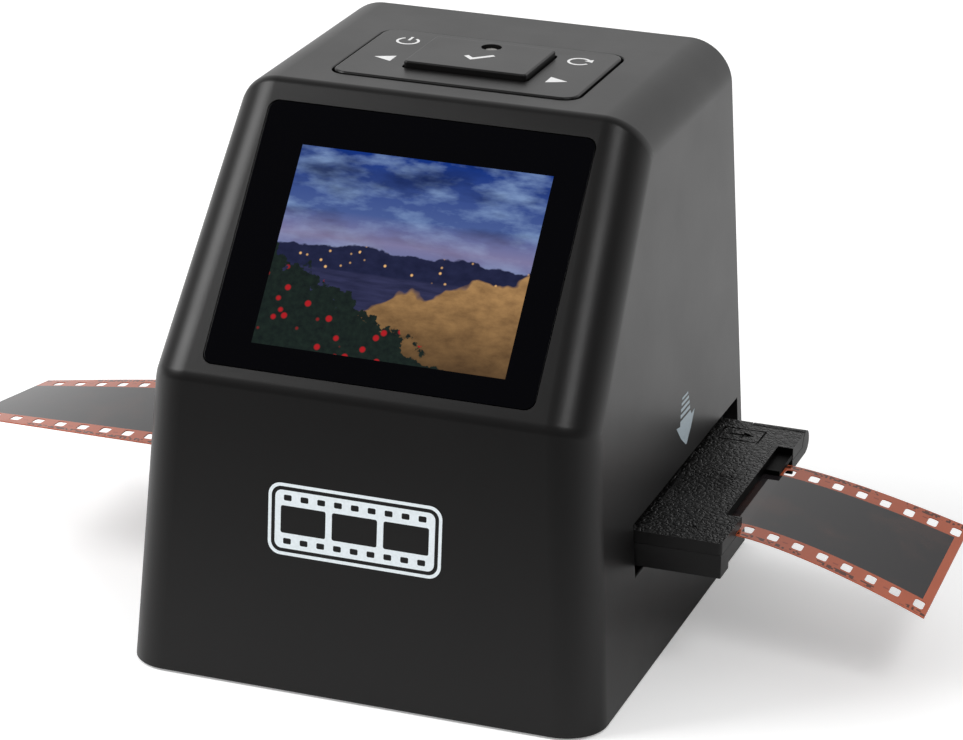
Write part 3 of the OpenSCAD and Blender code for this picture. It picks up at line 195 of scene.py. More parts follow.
def slab(name, size, middle, low, high, radius, segments=8):
    """A box of a width and depth, between two heights, with its upright edges rounded."""
    piece = block(name, (middle[0] - size[0] / 2, middle[1] - size[1] / 2, low),
                  (middle[0] + size[0] / 2, middle[1] + size[1] / 2, high))
    round_edges(piece, radius, segments, lambda a, b: abs(a.z - b.z) > 1e-3)
    return piece


def slice_off(piece, point, normal):
    """Cuts a piece along a plane, drops what the normal points to, and closes the cut."""
    edit(piece)
    bpy.ops.mesh.bisect(plane_co=Vector(point) * MM, plane_no=normal, use_fill=True,
                        clear_outer=True)
    leave()


def modify(piece, kind, **settings):
    """Adds one modifier and applies it."""
    activate(piece)
    modifier = piece.modifiers.new(kind.lower(), kind)
    for name, value in settings.items():
        setattr(modifier, name, value)
    bpy.ops.object.modifier_apply(modifier=modifier.name)


def combine(piece, others, operation):
    for other in others:
        modify(piece, "BOOLEAN", object=other, operation=operation, solver="EXACT")
        bpy.data.objects.remove(other)


def cut(piece, *others):
    combine(piece, others, "DIFFERENCE")


def weld(piece, *others):
    combine(piece, others, "UNION")


def clean(piece):
    """Merges doubled points and dissolves edges that divide a flat face."""
    edit(piece)
    bpy.ops.mesh.remove_doubles(threshold=0.002 * MM)
    bpy.ops.mesh.select_all(action="SELECT")
    bpy.ops.mesh.dissolve_limited(angle_limit=radians(0.5))
    leave()


def smooth(piece):
    """Shades curved stretches smooth and leaves the flat ones flat."""
    activate(piece)
    bpy.ops.object.shade_smooth_by_angle(angle=radians(32))
    modify(piece, "WEIGHTED_NORMAL", keep_sharp=True, weight=80)


def finished(piece, body, slot, material, *nodes):
    """Gives a finished piece its material and its place in the machine."""
    piece.data.materials.clear()
    piece.data.materials.append(material)
    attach(piece, body)
    if nodes:
        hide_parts(*nodes)
    print(piece.name, len(piece.data.polygons), "faces")
    return piece


# %% [markdown]
# ## Tools for finishes
# A finish here is a set of shader nodes on the piece's own coordinates, so that a grain keeps
# its real size on every piece. What a node gives out is held as a Value, and sums, products
# and comparisons of values add the nodes that reckon them. Sizes are in millimetres.

# %% Finish tools
class Value:
    """What a shader node gives out. Reckoning with it adds a node for each step."""

    def __init__(self, socket):
        self.socket = socket

    def __add__(self, other):
        return maths("ADD", self, other)

    def __sub__(self, other):
        return maths("SUBTRACT", self, other)

    def __rsub__(self, other):
        return maths("SUBTRACT", other, self)

    def __mul__(self, other):
        return maths("MULTIPLY", self, other)

    def __truediv__(self, other):
        return maths("DIVIDE", self, other)

    def __mod__(self, other):
        return maths("FLOORED_MODULO", self, other)

    def __abs__(self):
        return maths("ABSOLUTE", self)

    def __lt__(self, other):
        return maths("LESS_THAN", self, other)

    def __gt__(self, other):
        return maths("GREATER_THAN", self, other)


def work_on(owner):
    """The tools below add their nodes to this material or world from now on."""
    global tree
    owner.use_nodes = True
    tree = owner.node_tree


def give(socket, value):
    if isinstance(value, Value):
        tree.links.new(value.socket, socket)
    else:
        socket.default_value = value


def dress(shader, **inputs):
    """Sets a shader's inputs by their names, with an underscore for each blank."""
    for key, value in inputs.items():
        give(shader.inputs[key.replace("_", " ")], value)


def fresh(name, **inputs):
    """A new material, which the tools then work on, and its shader."""
    material = bpy.data.materials.new(name)
    work_on(material)
    shader = tree.nodes["Principled BSDF"]
    dress(shader, **inputs)
    return material, shader


def put(kind, inputs=None, output=0, **settings):
    """Adds a node and gives back the value of its output, or of each output in a tuple."""
    node = tree.nodes.new(kind)
    for key, value in settings.items():
        setattr(node, key, value)
    for key, value in (inputs or {}).items():
        give(node.inputs[key], value)
    if isinstance(output, tuple):
        return [Value(node.outputs[name]) for name in output]
    return Value(node.outputs[output])


def where():
    return put("ShaderNodeTexCoord", output="Object")


def axes(at, *names):
    return put("ShaderNodeSeparateXYZ", {"Vector": at}, names)


def noise(at, size, detail=2.0, rough=0.5, output="Fac"):
    return put("ShaderNodeTexNoise", {"Vector": at, "Scale": 1 / size, "Detail": detail,
                                      "Roughness": rough}, output)


def grain(at, size, detail=2.0, rough=0.5):
    """A noise on an object's own coordinates, which are in metres."""
    return noise(at, size * MM, detail, rough)


def cells(at, size, feature="F1", **inputs):
    """How far a place is from the middle or the border of its cell."""
    return put("ShaderNodeTexVoronoi", {"Vector": at, "Scale": 1 / (size * MM), **inputs}, "Distance",
               feature=feature)


def maths(operation, a, b=0.0):
    return put("ShaderNodeMath", {0: a, 1: b}, operation=operation)


def vector_maths(operation, a, inputs=None, output="Vector"):
    return put("ShaderNodeVectorMath", {0: a, **(inputs or {})}, output, operation=operation)


def spread(value, low, high, to_low=0.0, to_high=1.0):
    """Stretches the range low to high of a value to a new range."""
    return put("ShaderNodeMapRange", {"Value": value, "From Min": low, "From Max": high,
                                      "To Min": to_low, "To Max": to_high}, "Result")


def mixed(share, a, b):
    return put("ShaderNodeMix", {0: share, 6: a, 7: b}, 2, data_type="RGBA")


def relief(shader, height, depth, strength=1.0):
    """Gives the surface a fine relief, depth millimetres deep."""
    dress(shader, Normal=put("ShaderNodeBump", {
        "Height": height, "Distance": depth * MM, "Strength": strength}, "Normal"))


def rgb(red, green, blue):
    """A colour as it is read from a screen, 0 to 255, as the shader wants it."""
    def linear(value):
        value /= 255
        return value / 12.92 if value <= 0.04045 else ((value + 0.055) / 1.055) ** 2.4
    return (linear(red), linear(green), linear(blue), 1.0)


def duller(colour, share):
    return [c * share for c in colour[:3]] + [1]


# Most of a noise's values lie between these two.
CLOUDY = (0.3, 0.7)
BLACK = (0, 0, 0, 1)
WHITE = (1, 1, 1, 1)

# %% [markdown]
# ## The studio
# The photograph has a plain white ground. A pale floor under white surroundings gives that,
# and the floor keeps the machine's soft shadow. Black plastic is mostly seen by what it
# mirrors, so what its reflections meet matters more than the lamps: a white wall behind the
# machine lights up its top and its right side, and the dark room in front of it, where the
# photographer stands, keeps the front and the screen deep black. Light Path tells apart what
# the camera sees, what a reflection sees, and what lights the surfaces.

# %% Surroundings
WALL_FROM = 0.05
WALL_TO = 0.65
ROOM_DARKNESS = 0.14
AMBIENT = 0.56


def rays():
    """What a ray meets directly, through clear pieces too, and what it meets in a mirror."""
    direct, through, glossy = put("ShaderNodeLightPath", output=(
        "Is Camera Ray", "Is Transmission Ray", "Is Glossy Ray"))
    return maths("MAXIMUM", direct, through), glossy


world = bpy.data.worlds.new("studio")
bpy.context.scene.world = world
work_on(world)
seen, glossy = rays()
sky_y = axes(put("ShaderNodeTexCoord", output="Generated"), "Y")[0]
wall = spread(sky_y, WALL_FROM, WALL_TO, ROOM_DARKNESS, 1.0)
other_rays = 1 - maths("MAXIMUM", seen, glossy)
dress(tree.nodes["Background"], Color=WHITE, Strength=seen + glossy * wall + other_rays * AMBIENT)
print("studio nodes:", len(tree.nodes))

# %% [markdown]
# The floor is one large pale plane. The camera sees it a little lighter than the lamps make
# it, which keeps the ground near white while the shadow stays. In reflections it darkens in
# front of the machine, as a table does that ends in a dark room, and brightens behind it.

# %% Floor
FLOOR_SIZE = 12
FLOOR_COLOUR = (0.93, 0.93, 0.93, 1)
FLOOR_LIFT = 0.28
TABLE_END = (-0.26, -0.05)
TABLE_END_SHADE = 0.12
BACK_LIFT = 0.35
BACK_LIFT_FROM = (0.10, 0.26)
BACK_HALF = (0.0, 0.1)

bpy.ops.mesh.primitive_plane_add(size=FLOOR_SIZE)
floor = bpy.context.object
floor.name = "floor"
floor_finish, floor_shader = fresh("pale_floor", Roughness=0.9, Specular_IOR_Level=0.0)
floor_at = where()
floor_y = axes(floor_at, "Y")[0]
seen, glossy = rays()
table_end = spread(floor_y, *TABLE_END, TABLE_END_SHADE, 1.0)
lightness = put("ShaderNodeMix", {0: glossy, 2: 1.0, 3: table_end})
far_off = vector_maths("LENGTH", floor_at, output="Value")
behind = spread(far_off, *BACK_LIFT_FROM) * spread(floor_y, *BACK_HALF)
dress(floor_shader, Base_Color=mixed(lightness, BLACK, FLOOR_COLOUR), Emission_Color=WHITE,
      Emission_Strength=seen * FLOOR_LIFT + behind * BACK_LIFT * glossy)
floor.data.materials.append(floor_finish)
print("floor:", FLOOR_SIZE, "m wide")

# %% [markdown]
# A large soft lamp stands on the left, where the rounded edge beside the screen mirrors it
# and the screen doesn't. A small one stands to the right of the camera and above it. It
# draws the fine light line along the right edge of the sloping face.

# %% Lamps
LIT_POINT = Vector((0, 0, 0.06))
LAMPS = {
    "key_lamp": {"way": (-0.70, -0.34, 0.63), "away": 0.95, "size": 0.45, "watts": 6.0},
    "edge_lamp": {"way": (0.50, -0.46, 0.74), "away": 1.0, "size": 0.26, "watts": 2.4},
}


def soft_lamp(name, way, away, size, watts):
    """A square soft lamp that looks at the machine from a direction, so many metres away."""
    place = Vector(way).normalized() * away + LIT_POINT
    bpy.ops.object.light_add(type="AREA", location=place)
    lamp = bpy.context.object
    lamp.name = name
    lamp.data.size = size
    lamp.data.energy = watts
    lamp.rotation_euler = (LIT_POINT - place).to_track_quat("-Z", "Y").to_euler()


for name, settings in LAMPS.items():
    soft_lamp(name, **settings)

# %% [markdown]
# ### Moulded black plastic
# The body is moulded in black plastic with a very fine spark-eroded grain, which scatters
# reflections a little. A flat black with one roughness would look like paint. Two noises are
# enough: a fine one for the grain's relief, and a broad one that lets roughness and colour
# drift by a few percent, as flow and handling do.

# %% Moulded plastic
def moulded(name, colour, roughness, grain_size, depth, ior=1.36, drift=0.04):
    material, shader = fresh(name, IOR=ior)
    at = where()
    broad = spread(grain(at, 40, 3), *CLOUDY)
    patch = spread(grain(at, 12, 3), *CLOUDY, roughness - drift, roughness + drift)
    dress(shader, Base_Color=mixed(broad, duller(colour, 0.82), colour), Roughness=patch)
    relief(shader, grain(at, grain_size, 2), depth)
    return material


shell_plastic = moulded("black_shell_plastic", rgb(14, 13, 13), 0.38, 0.30, 0.008, 1.38, 0.015)
key_finish = moulded("key_plastic", rgb(14, 13, 13), 0.36, 0.22, 0.006, 1.38, 0.015)
inner_finish = moulded("inner_grey_plastic", rgb(48, 48, 51), 0.5, 0.4, 0.02, 1.45)
print("finishes:", len(bpy.data.materials))

# %% [markdown]
# ## The housing
# The housing is one hollow moulding: an upright front, a sloping face for the screen, a flat
# top and two sides that lean inwards. A block sliced along those planes gives the exact faces,
# and the long edges are rounded afterwards. The creases across the front are only softened.
# Solidify then makes the wall.

# %% The body's planes
FOOT_LIFT = 0.5
BODY_H = 102.5
BASE_HALF = 45.5
TOP_HALF = 39.0
FRONT_Y = -47.5
REAR_Y = 47.5
KNEE = (-43.9, 57.3)
CREASE_Y = -6.9
REAR_LEAN = 1.1
WALL = 2.2
FILM_Y = 6.8
KEY_Y = 14.65
SCREEN_TILT = atan2(BODY_H - KNEE[1], CREASE_Y - KNEE[0])


def half_width(z):
    """Half of the body's width at a height."""
    return BASE_HALF - (BASE_HALF - TOP_HALF) * (z - FOOT_LIFT) / (BODY_H - FOOT_LIFT)


def rear_at(z):
    """Where the back lies at a height."""
    return REAR_Y - REAR_LEAN * (z - FOOT_LIFT) / (BODY_H - FOOT_LIFT)


def screen_place(x, v):
    """A point of the sloping face: x across, v up the slope."""
    return Vector((x, KNEE[0] + v * cos(SCREEN_TILT), KNEE[1] + v * sin(SCREEN_TILT)))


def on_slope(piece):
    """Turns a piece that was made flat, in x and v, onto the sloping face."""
    piece.rotation_euler = (SCREEN_TILT, 0, 0)
    piece.location = (0, KNEE[0] * MM, KNEE[1] * MM)
    return apply_place(piece)


def slope_lift(point):
    """How far a point stands out of the sloping face."""
    return -(point.y - KNEE[0]) * sin(SCREEN_TILT) + (point.z - KNEE[1]) * cos(SCREEN_TILT)


def slope_v(point):
    """How far a point lies up the sloping face."""
    return (point.y - KNEE[0]) * cos(SCREEN_TILT) + (point.z - KNEE[1]) * sin(SCREEN_TILT)


print("the screen face leans", round(degrees(SCREEN_TILT), 1), "degrees")

# %% Slice a block along those planes
ROUGH = 60
side_normal = Vector((BODY_H - FOOT_LIFT, 0, BASE_HALF - TOP_HALF)).normalized()
front_normal = Vector((0, FOOT_LIFT - KNEE[1], KNEE[0] - FRONT_Y)).normalized()
slope_normal = Vector((0, -sin(SCREEN_TILT), cos(SCREEN_TILT)))
rear_normal = Vector((0, BODY_H - FOOT_LIFT, REAR_LEAN)).normalized()

housing = block("housing", (-ROUGH, -ROUGH, FOOT_LIFT), (ROUGH, ROUGH, BODY_H))
for point, normal in (((0, FRONT_Y, FOOT_LIFT), front_normal), ((0, *KNEE), slope_normal),
                      ((0, REAR_Y, FOOT_LIFT), rear_normal),
                      ((BASE_HALF, 0, FOOT_LIFT), side_normal),
                      ((-BASE_HALF, 0, FOOT_LIFT), side_normal * Vector((-1, 1, 1)))):
    slice_off(housing, point, normal)
print("sliced block:", len(housing.data.polygons), "faces")

# %% Round the long edges
FRONT_ROUND = 8.0
SLOPE_ROUND = 8.0
TOP_ROUND = 7.9
FULL_WEIGHT = 10


def long_edge_round(a, b):
    """The radius of an edge of the sliced block, or nothing for an edge that stays sharp."""
    if abs(a.z - b.z) > 20 and max(a.y, b.y) < KNEE[0] + 0.1:
        return FRONT_ROUND
    if all(near(slope_lift(p), 0) for p in (a, b)) and abs(a.x) > 30 and a.x * b.x > 0:
        return SLOPE_ROUND
    if above(BODY_H)(a, b) and abs(a.y - b.y) > 20:
        return TOP_ROUND
    return 0


edit(housing, "EDGE", "DESELECT")
mesh = bmesh.from_edit_mesh(housing.data)
weights = mesh.edges.layers.float.new("bevel_weight_edge")
for edge in mesh.edges:
    edge[weights] = long_edge_round(*[v.co / MM for v in edge.verts]) / FULL_WEIGHT
bmesh.update_edit_mesh(housing.data)
leave()
modify(housing, "BEVEL", limit_method="WEIGHT", width=FULL_WEIGHT * MM, segments=14,
       offset_type="OFFSET", use_clamp_overlap=False)
print("rounded:", len(housing.data.polygons), "faces")

# %% Soften the two creases across the front
CREASE_ROUND = 1.1
CREASE_REACH = 0.9
BEYOND_CREASE = 12
front_way = Vector((0, KNEE[0] - FRONT_Y, KNEE[1] - FOOT_LIFT)).normalized()
slope_way = Vector((0, cos(SCREEN_TILT), sin(SCREEN_TILT)))
knee_plane = (front_way + slope_way).normalized()
top_plane = (slope_way + Vector((0, 1, 0))).normalized()
knee_point = Vector((0, *KNEE))
top_point = Vector((0, CREASE_Y, BODY_H))


def is_near_plane(a, b, point, normal):
    return all(near((p - point).dot(normal), 0, CREASE_REACH) for p in (a, b))


def is_crease(a, b):
    if is_near_plane(a, b, knee_point, knee_plane) and max(a.y, b.y) < KNEE[0] + BEYOND_CREASE:
        return True
    return is_near_plane(a, b, top_point, top_plane) and min(a.z, b.z) > BODY_H - BEYOND_CREASE


print("crease edges:", round_edges(housing, CREASE_ROUND, 4, is_crease))

# %% Open the back and the bottom, and give the shell its wall
choose(housing, "FACE", lambda middle, normal: normal.z < -0.9 or normal.y > 0.9)
bpy.ops.mesh.delete(type="FACE")
leave()
modify(housing, "SOLIDIFY", thickness=WALL * MM, offset=-1, use_even_offset=True, use_rim=True)
print("hollow shell:", len(housing.data.polygons), "faces")

# %% Screw bosses inside the shell
BASE_BOSS = (39.80, -35.50, 40.70)
REAR_BOSS = (34.92, 88.0)
KEY_BOSS = (27.0, KEY_Y - 13.4, KEY_Y + 13.9)
BOSS_R = 3.2
KEY_BOSS_R = 2.4
SCREW_HOLE_R = 1.25
KEY_HOLE_R = 0.75
BASE_BOSS_Z = (2.9, 14.9)
BASE_HOLE_Z = (1.9, 12.9)
KEY_BOSS_Z = (95.8, 101.4)
KEY_HOLE_Z = (94.8, 99.5)
REAR_BOSS_L = 10
REAR_HOLE_L = 8
REAR_COVER_T = 2
rear_inner_y = rear_at(REAR_BOSS[1]) - REAR_COVER_T

bosses = []
holes = []
for side in (-1, 1):
    for (x, *rows), boss_r, hole_r, boss_z, hole_z in (
            (BASE_BOSS, BOSS_R, SCREW_HOLE_R, BASE_BOSS_Z, BASE_HOLE_Z),
            (KEY_BOSS, KEY_BOSS_R, KEY_HOLE_R, KEY_BOSS_Z, KEY_HOLE_Z)):
        for y in rows:
            bosses.append(rod("boss", (side * x, y, boss_z[0]), (side * x, y, boss_z[1]), boss_r, 32))
            holes.append(rod("hole", (side * x, y, hole_z[0]), (side * x, y, hole_z[1]), hole_r, 24))
    x, z = side * REAR_BOSS[0], REAR_BOSS[1]
    bosses.append(rod("boss", (x, rear_inner_y - REAR_BOSS_L, z), (x, rear_inner_y, z), BOSS_R, 32))
    holes.append(rod("hole", (x, rear_inner_y - REAR_HOLE_L, z), (x, rear_inner_y + 1, z), SCREW_HOLE_R, 24))
weld(housing, *bosses)
cut(housing, *holes)
print("with bosses:", len(housing.data.polygons), "faces")

# %% Slot, window pocket and openings
SLOT_LOW = (FILM_Y - 27.9, 21.4)
SLOT_HIGH = (FILM_Y + 37.8, 31.4)
WINDOW = (62.4, 51.0)
WINDOW_V = 28.5
WINDOW_T = 1.4
WINDOW_R = 2.0
COVER_GAP = 0.15
PICTURE = (47.8, 38.2)
PICTURE_PLACE = (1.0, 27.0)
VIEW_MARGIN = 1.5
PLATE = (47.2, 29.7)
PLATE_GAP = 0.45
PLATE_R = 3.0
KEYS_CUT_Z = (98, 106)
# how far a cutter reaches beyond what it cuts
OVER = 5


def grown(size, gap):
    """A width and depth with a gap added on every side."""
    return size[0] + 2 * gap, size[1] + 2 * gap


pocket = grown(WINDOW, COVER_GAP)
keys = grown(PLATE, PLATE_GAP)
cut(housing, block("slot", (-ROUGH, *SLOT_LOW), (ROUGH, *SLOT_HIGH)),
    on_slope(slab("pocket", pocket, (0, WINDOW_V), -WINDOW_T, OVER, WINDOW_R)),
    on_slope(slab("view", grown(PICTURE, VIEW_MARGIN), PICTURE_PLACE, -OVER, OVER, WINDOW_R)),
    slab("keys", keys, (0, KEY_Y), *KEYS_CUT_Z, PLATE_R + PLATE_GAP))
clean(housing)
print("with openings:", len(housing.data.polygons), "faces")

# %% Break the sharp rims of the openings
RIM = 0.3
RIM_REACH = 0.05


@both
def is_slot_rim(p):
    return (near(abs(p.x), half_width(p.z), RIM_REACH)
            and SLOT_LOW[0] - RIM_REACH < p.y < SLOT_HIGH[0] + RIM_REACH
            and SLOT_LOW[1] - RIM_REACH < p.z < SLOT_HIGH[1] + RIM_REACH)


@both
def is_key_rim(p):
    return (p.z > BODY_H - RIM_REACH and abs(p.x) < keys[0] / 2 + 0.1
            and near(p.y, KEY_Y, keys[1] / 2 + 0.1))


@both
def is_pocket_rim(p):
    return (near(slope_lift(p), 0, RIM_REACH) and abs(p.x) < pocket[0] / 2 + 0.1
            and near(slope_v(p), WINDOW_V, pocket[1] / 2 + 0.1))


print("slot rim", round_edges(housing, RIM, 2, is_slot_rim))
print("key rim", round_edges(housing, RIM, 3, is_key_rim))
print("pocket rim", round_edges(housing, RIM / 3, 2, is_pocket_rim))
smooth(housing)
finished(housing, "body", "black_plastic", shell_plastic, "main_housing")

# %% [markdown]
# ## The screen window
# A pane of glossy plastic lies in a pocket of the sloping face. It is printed black from
# behind except for the picture's rectangle, and the display lights up behind that. The pane
# could be clear, with the display behind it, but the print and the glow lie so close under
# its surface that one glossy black material which glows inside the rectangle looks the same.
# The picture is a plain evening landscape of its own: clouds, hills with lights, a sandy bank.

# %% The display's picture
SKY = (rgb(92, 112, 160), rgb(14, 48, 124))
CLOUD = rgb(134, 160, 200)
DARK_CLOUD = rgb(14, 28, 70)
LAST_LIGHT = rgb(150, 132, 160)
HILL = (rgb(16, 20, 44), rgb(40, 44, 76))
HILL_LAMP = rgb(236, 186, 120)
WATER = (rgb(14, 18, 40), rgb(60, 62, 98))
SAND = (rgb(70, 46, 30), rgb(206, 160, 104))
SAND_SHADE = rgb(20, 14, 14)
LEAVES = (rgb(8, 10, 16), rgb(34, 48, 40))
BLOSSOM = rgb(168, 28, 34)


def display_finish():
    """The pane's gloss, and the picture that glows in its rectangle.

    The picture's own coordinates are x and v, in millimetres from its middle. A line in it,
    such as the ridge, is a height; whatever lies below it gets the new colour."""
    material, shader = fresh("screen_pane", IOR=1.18, Roughness=0.04, Base_Color=rgb(4, 4, 6))
    flat = put("ShaderNodeMapping", {
        "Vector": where(), "Location": screen_place(*PICTURE_PLACE) * MM,
        "Rotation": (SCREEN_TILT, 0, 0), "Scale": (MM, MM, MM)}, "Vector", vector_type="TEXTURE")
    x, v = axes(flat, "X", "Y")

    def streaks(size, stretch, detail, shift=0.0, rough=0.55):
        squeezed = put("ShaderNodeMapping", {
            "Vector": flat, "Scale": (1 / (size * stretch), 1 / size, 1),
            "Location": (shift, shift, 0)}, "Vector")
        return noise(squeezed, 1.0, detail, rough)

    def dots(scale, low, high):
        """Round dots of two radii in the unit of their spacing, and each dot's chance."""
        far, colour = put("ShaderNodeTexVoronoi", {"Vector": flat, "Scale": scale},
                          ("Distance", "Color"))
        return spread(far, low, high, 1, 0), colour

    # the sky: deep blue above, paler near the hills, with long clouds
    picture = mixed(spread(v, -2, 19), *SKY)
    cloud = spread(streaks(4.6, 2.6, 6), 0.46, 0.66)
    picture = mixed(cloud * 0.75, picture, CLOUD)
    dark_cloud = spread(streaks(6.5, 3.2, 5, 7.3), 0.50, 0.70)
    picture = mixed(dark_cloud * 0.8, picture, DARK_CLOUD)
    # a band of last light above the hills
    glow = spread(abs(v - 2.5), 0, 5, 1, 0)
    picture = mixed(glow * 0.5, picture, LAST_LIGHT)
    # the hills, with small lamps on them
    ridge = streaks(9, 1, 4, 2.1) * 7 - 2.6
    lamp, chance = dots(0.75, 0.10, 0.26)
    some = spread(put("ShaderNodeSeparateColor", {"Color": chance}, "Red"), 0.62, 0.66)
    hill_colour = mixed(lamp * some, mixed(streaks(1.5, 1.5, 3, 4.0), *HILL), HILL_LAMP)
    picture = mixed(spread(ridge - v, -0.15, 0.15), picture, hill_colour)
    # the water below the hills
    picture = mixed(spread(-3.6 - v, -0.2, 0.2), picture, mixed(streaks(0.8, 7, 4, 9.0), *WATER))
    # a sandy bank, lit by a warm lamp, rising towards the right
    bank_line = x * 0.34 + streaks(11, 1, 3, 5.5) * 11 - 13.5
    sand = mixed(streaks(2.4, 1.8, 6, 1.0, 0.65), *SAND)
    sand = mixed(spread(v, -19, -3, 0.25, 1.0), SAND_SHADE, sand)
    picture = mixed(spread(bank_line - v, -0.2, 0.3), picture, sand)
    # a clump of dark bushes with a few red blossoms, low on the left
    bush_line = streaks(3.2, 1, 5, 8.0) * 15 - (x * 0.5 + 20.5)
    blossom, _ = dots(0.34, 0.16, 0.24)
    leaves = mixed(blossom, mixed(streaks(1.1, 1, 4, 3.0), *LEAVES), BLOSSOM)
    picture = mixed(spread(bush_line - v, -0.2, 0.3), picture, leaves)

    inside = (abs(x) < PICTURE[0] / 2) * (abs(v) < PICTURE[1] / 2)
    dress(shader, Emission_Color=mixed(inside, BLACK, picture), Emission_Strength=1.0)
    return material


pane_finish = display_finish()
print("picture nodes:", len(pane_finish.node_tree.nodes))

# %% The pane
PANE_EDGE = 0.12
window = slab("window", WINDOW, (0, WINDOW_V), -WINDOW_T, 0, WINDOW_R, 10)
round_edges(window, PANE_EDGE, 2, above(0))
on_slope(window)
smooth(window)
finished(window, "body", "gloss_black", pane_finish, "screen_window")

# %% [markdown]
# ## The key plate and the OK key
# One plate rocks under the finger at each of its corners, and a raised key moves straight
# down in its middle. The plate is a thin slab with rounded corners. The key's opening is cut
# through it, and every edge gets a small radius, since a moulded key never has a sharp one.
# Legs and lugs under the plate belong to the same moulding.

# %% Key plate
PLATE_TOP = 102.8
PLATE_FOOT = 100.5
OK_SIZE = (23.8, 17.4)
OK_GAP = 0.35
OK_R = 0.8
OK_Y = KEY_Y + 0.75
PLATE_EDGE = 0.45
PLATE_HOLE_EDGE = 0.14
# the rim lies outside the first two, the edge of the key's hole inside the others
OUTER_X, OUTER_Y = 15, 13.9
INNER_X, INNER_Y = 13, 10
PIVOT_Z = 98.0
PIVOT_R = 0.75
LEG_FOOT = 95.65
LEG_R = 1.3
LEG_PLACES = [(x, KEY_Y + y) for x in (-18.5, 18.5) for y in (-11, 10)]
LUG_X = 17.2
LUG_HALF = (0.8, 2, 1.6)
SUNK = 0.5

key_plate = slab("key_plate_top", PLATE, (0, KEY_Y), PLATE_FOOT, PLATE_TOP, PLATE_R, 10)
cut(key_plate, slab("key_hole", grown(OK_SIZE, OK_GAP), (0, OK_Y), PLATE_FOOT - 1, PLATE_TOP + 1,
                    OK_R + OK_GAP))


@both
def is_plate_rim(p):
    return above(PLATE_TOP)(p, p) and (abs(p.x) > OUTER_X or not near(p.y, KEY_Y, OUTER_Y))


@both
def is_plate_hole(p):
    return above(PLATE_TOP)(p, p) and abs(p.x) < INNER_X and near(p.y, OK_Y, INNER_Y)


round_edges(key_plate, PLATE_HOLE_EDGE, 2, is_plate_hole)
round_edges(key_plate, PLATE_EDGE, 4, is_plate_rim)
for x, y in LEG_PLACES:
    weld(key_plate, rod("leg", (x, y, LEG_FOOT), (x, y, PLATE_FOOT + SUNK), LEG_R, 24))
for side in (-1, 1):
    x, (dx, dy, dz) = side * LUG_X, LUG_HALF
    lug = block("lug", (x - dx, KEY_Y - dy, PIVOT_Z - dz), (x + dx, KEY_Y + dy, PLATE_FOOT + SUNK))
    cut(lug, rod("pin_hole", (x - 3, KEY_Y, PIVOT_Z), (x + 3, KEY_Y, PIVOT_Z), PIVOT_R, 24))
    weld(key_plate, lug)
clean(key_plate)
smooth(key_plate)
finished(key_plate, "plate", "key_plastic", key_finish, "key_plate")

# %% OK key
OK_TOP = 104.0
OK_FOOT = 98.6
OK_FLANGE = grown(OK_SIZE, 1)
OK_EDGE = 0.4
FLANGE_T = 0.8
STEM_R = 2.2
LIGHT_PLACE = Vector((0.2, 21.0))
LIGHT_HOLE_R = 1.9
LIGHT_HOLE_EDGE = 0.1


def light_rod(name, low, high, radius, sides):
    """An upright rod at the place of the status light."""
    return rod(name, (*LIGHT_PLACE, low), (*LIGHT_PLACE, high), radius, sides)


@both
def is_light_rim(p):
    return above(OK_TOP)(p, p) and (p.xy - LIGHT_PLACE).length < LIGHT_HOLE_R + 0.05


ok_key = slab("ok_key_cap", OK_SIZE, (0, OK_Y), OK_FOOT, OK_TOP, OK_R, 6)
round_edges(ok_key, OK_EDGE, 4, above(OK_TOP))
weld(ok_key, slab("flange", OK_FLANGE, (0, OK_Y), OK_FOOT, OK_FOOT + FLANGE_T, OK_R, 4),
     rod("stem", (0, KEY_Y, LEG_FOOT), (0, KEY_Y, OK_FOOT + SUNK), STEM_R, 32))
cut(ok_key, light_rod("light_hole", OK_FOOT - 1, OK_TOP + 1, LIGHT_HOLE_R, 48))
clean(ok_key)
round_edges(ok_key, LIGHT_HOLE_EDGE, 2, is_light_rim)
smooth(ok_key)
finished(ok_key, "ok_key_body", "key_plastic", key_finish, "ok_key")

# %% [markdown]
# ### The status light
# A clear plastic pipe carries the light of a small lamp up to a hole near the back edge of
# the middle key. Its head is a low dome that catches the light, so it shows as a pale spot in
# a dark ring. A cylinder with a wide bevel on its top edge gives the dome.

# %% Light pipe
PIPE_FOOT = 91.8
PIPE_HEAD = (101.1, OK_TOP - 0.5)
PIPE_R = 1.0
PIPE_HEAD_R = 1.5
DOME_ROUND = 0.55
clear_finish, clear_shader = fresh("light_pipe_plastic", IOR=1.49, Roughness=0.22)
dress(clear_shader, Base_Color=mixed(grain(where(), 1.4), rgb(104, 102, 100), rgb(138, 136, 132)))

light_pipe = light_rod("light_pipe_dome", *PIPE_HEAD, PIPE_HEAD_R, 40)
round_edges(light_pipe, DOME_ROUND, 5, above(PIPE_HEAD[1]))
weld(light_pipe, light_rod("stem", PIPE_FOOT, PIPE_HEAD[0] + 0.2, PIPE_R, 24))
smooth(light_pipe)
finished(light_pipe, "body", "clear_plastic", clear_finish, "light_pipe")

# %% [markdown]
# ### The printed marks
# The marks on the plate are printed in white: a power sign, two triangles and a turning arrow.
# Each is a very thin raised shape, like the ink layer itself, so it needs no texture image and
# moves with its key. The rings are spun from a small block, and the other marks are drawn as
# outlines. Words are left off, and the middle key has a plain tick.

# %% Tools for marks
INK = 0.03
INK_SINK = 0.01


def ink_finish(name, colour):
    material, shader = fresh(name, IOR=1.4, Roughness=0.5)
    worn = spread(grain(where(), 0.5, 3), *CLOUDY)
    dress(shader, Base_Color=mixed(worn, duller(colour, 0.9), colour))
    return material


def face_outwards():
    """In edit mode, turns all the faces outwards."""
    bpy.ops.mesh.select_all(action="SELECT")
    bpy.ops.mesh.normals_make_consistent(inside=False)


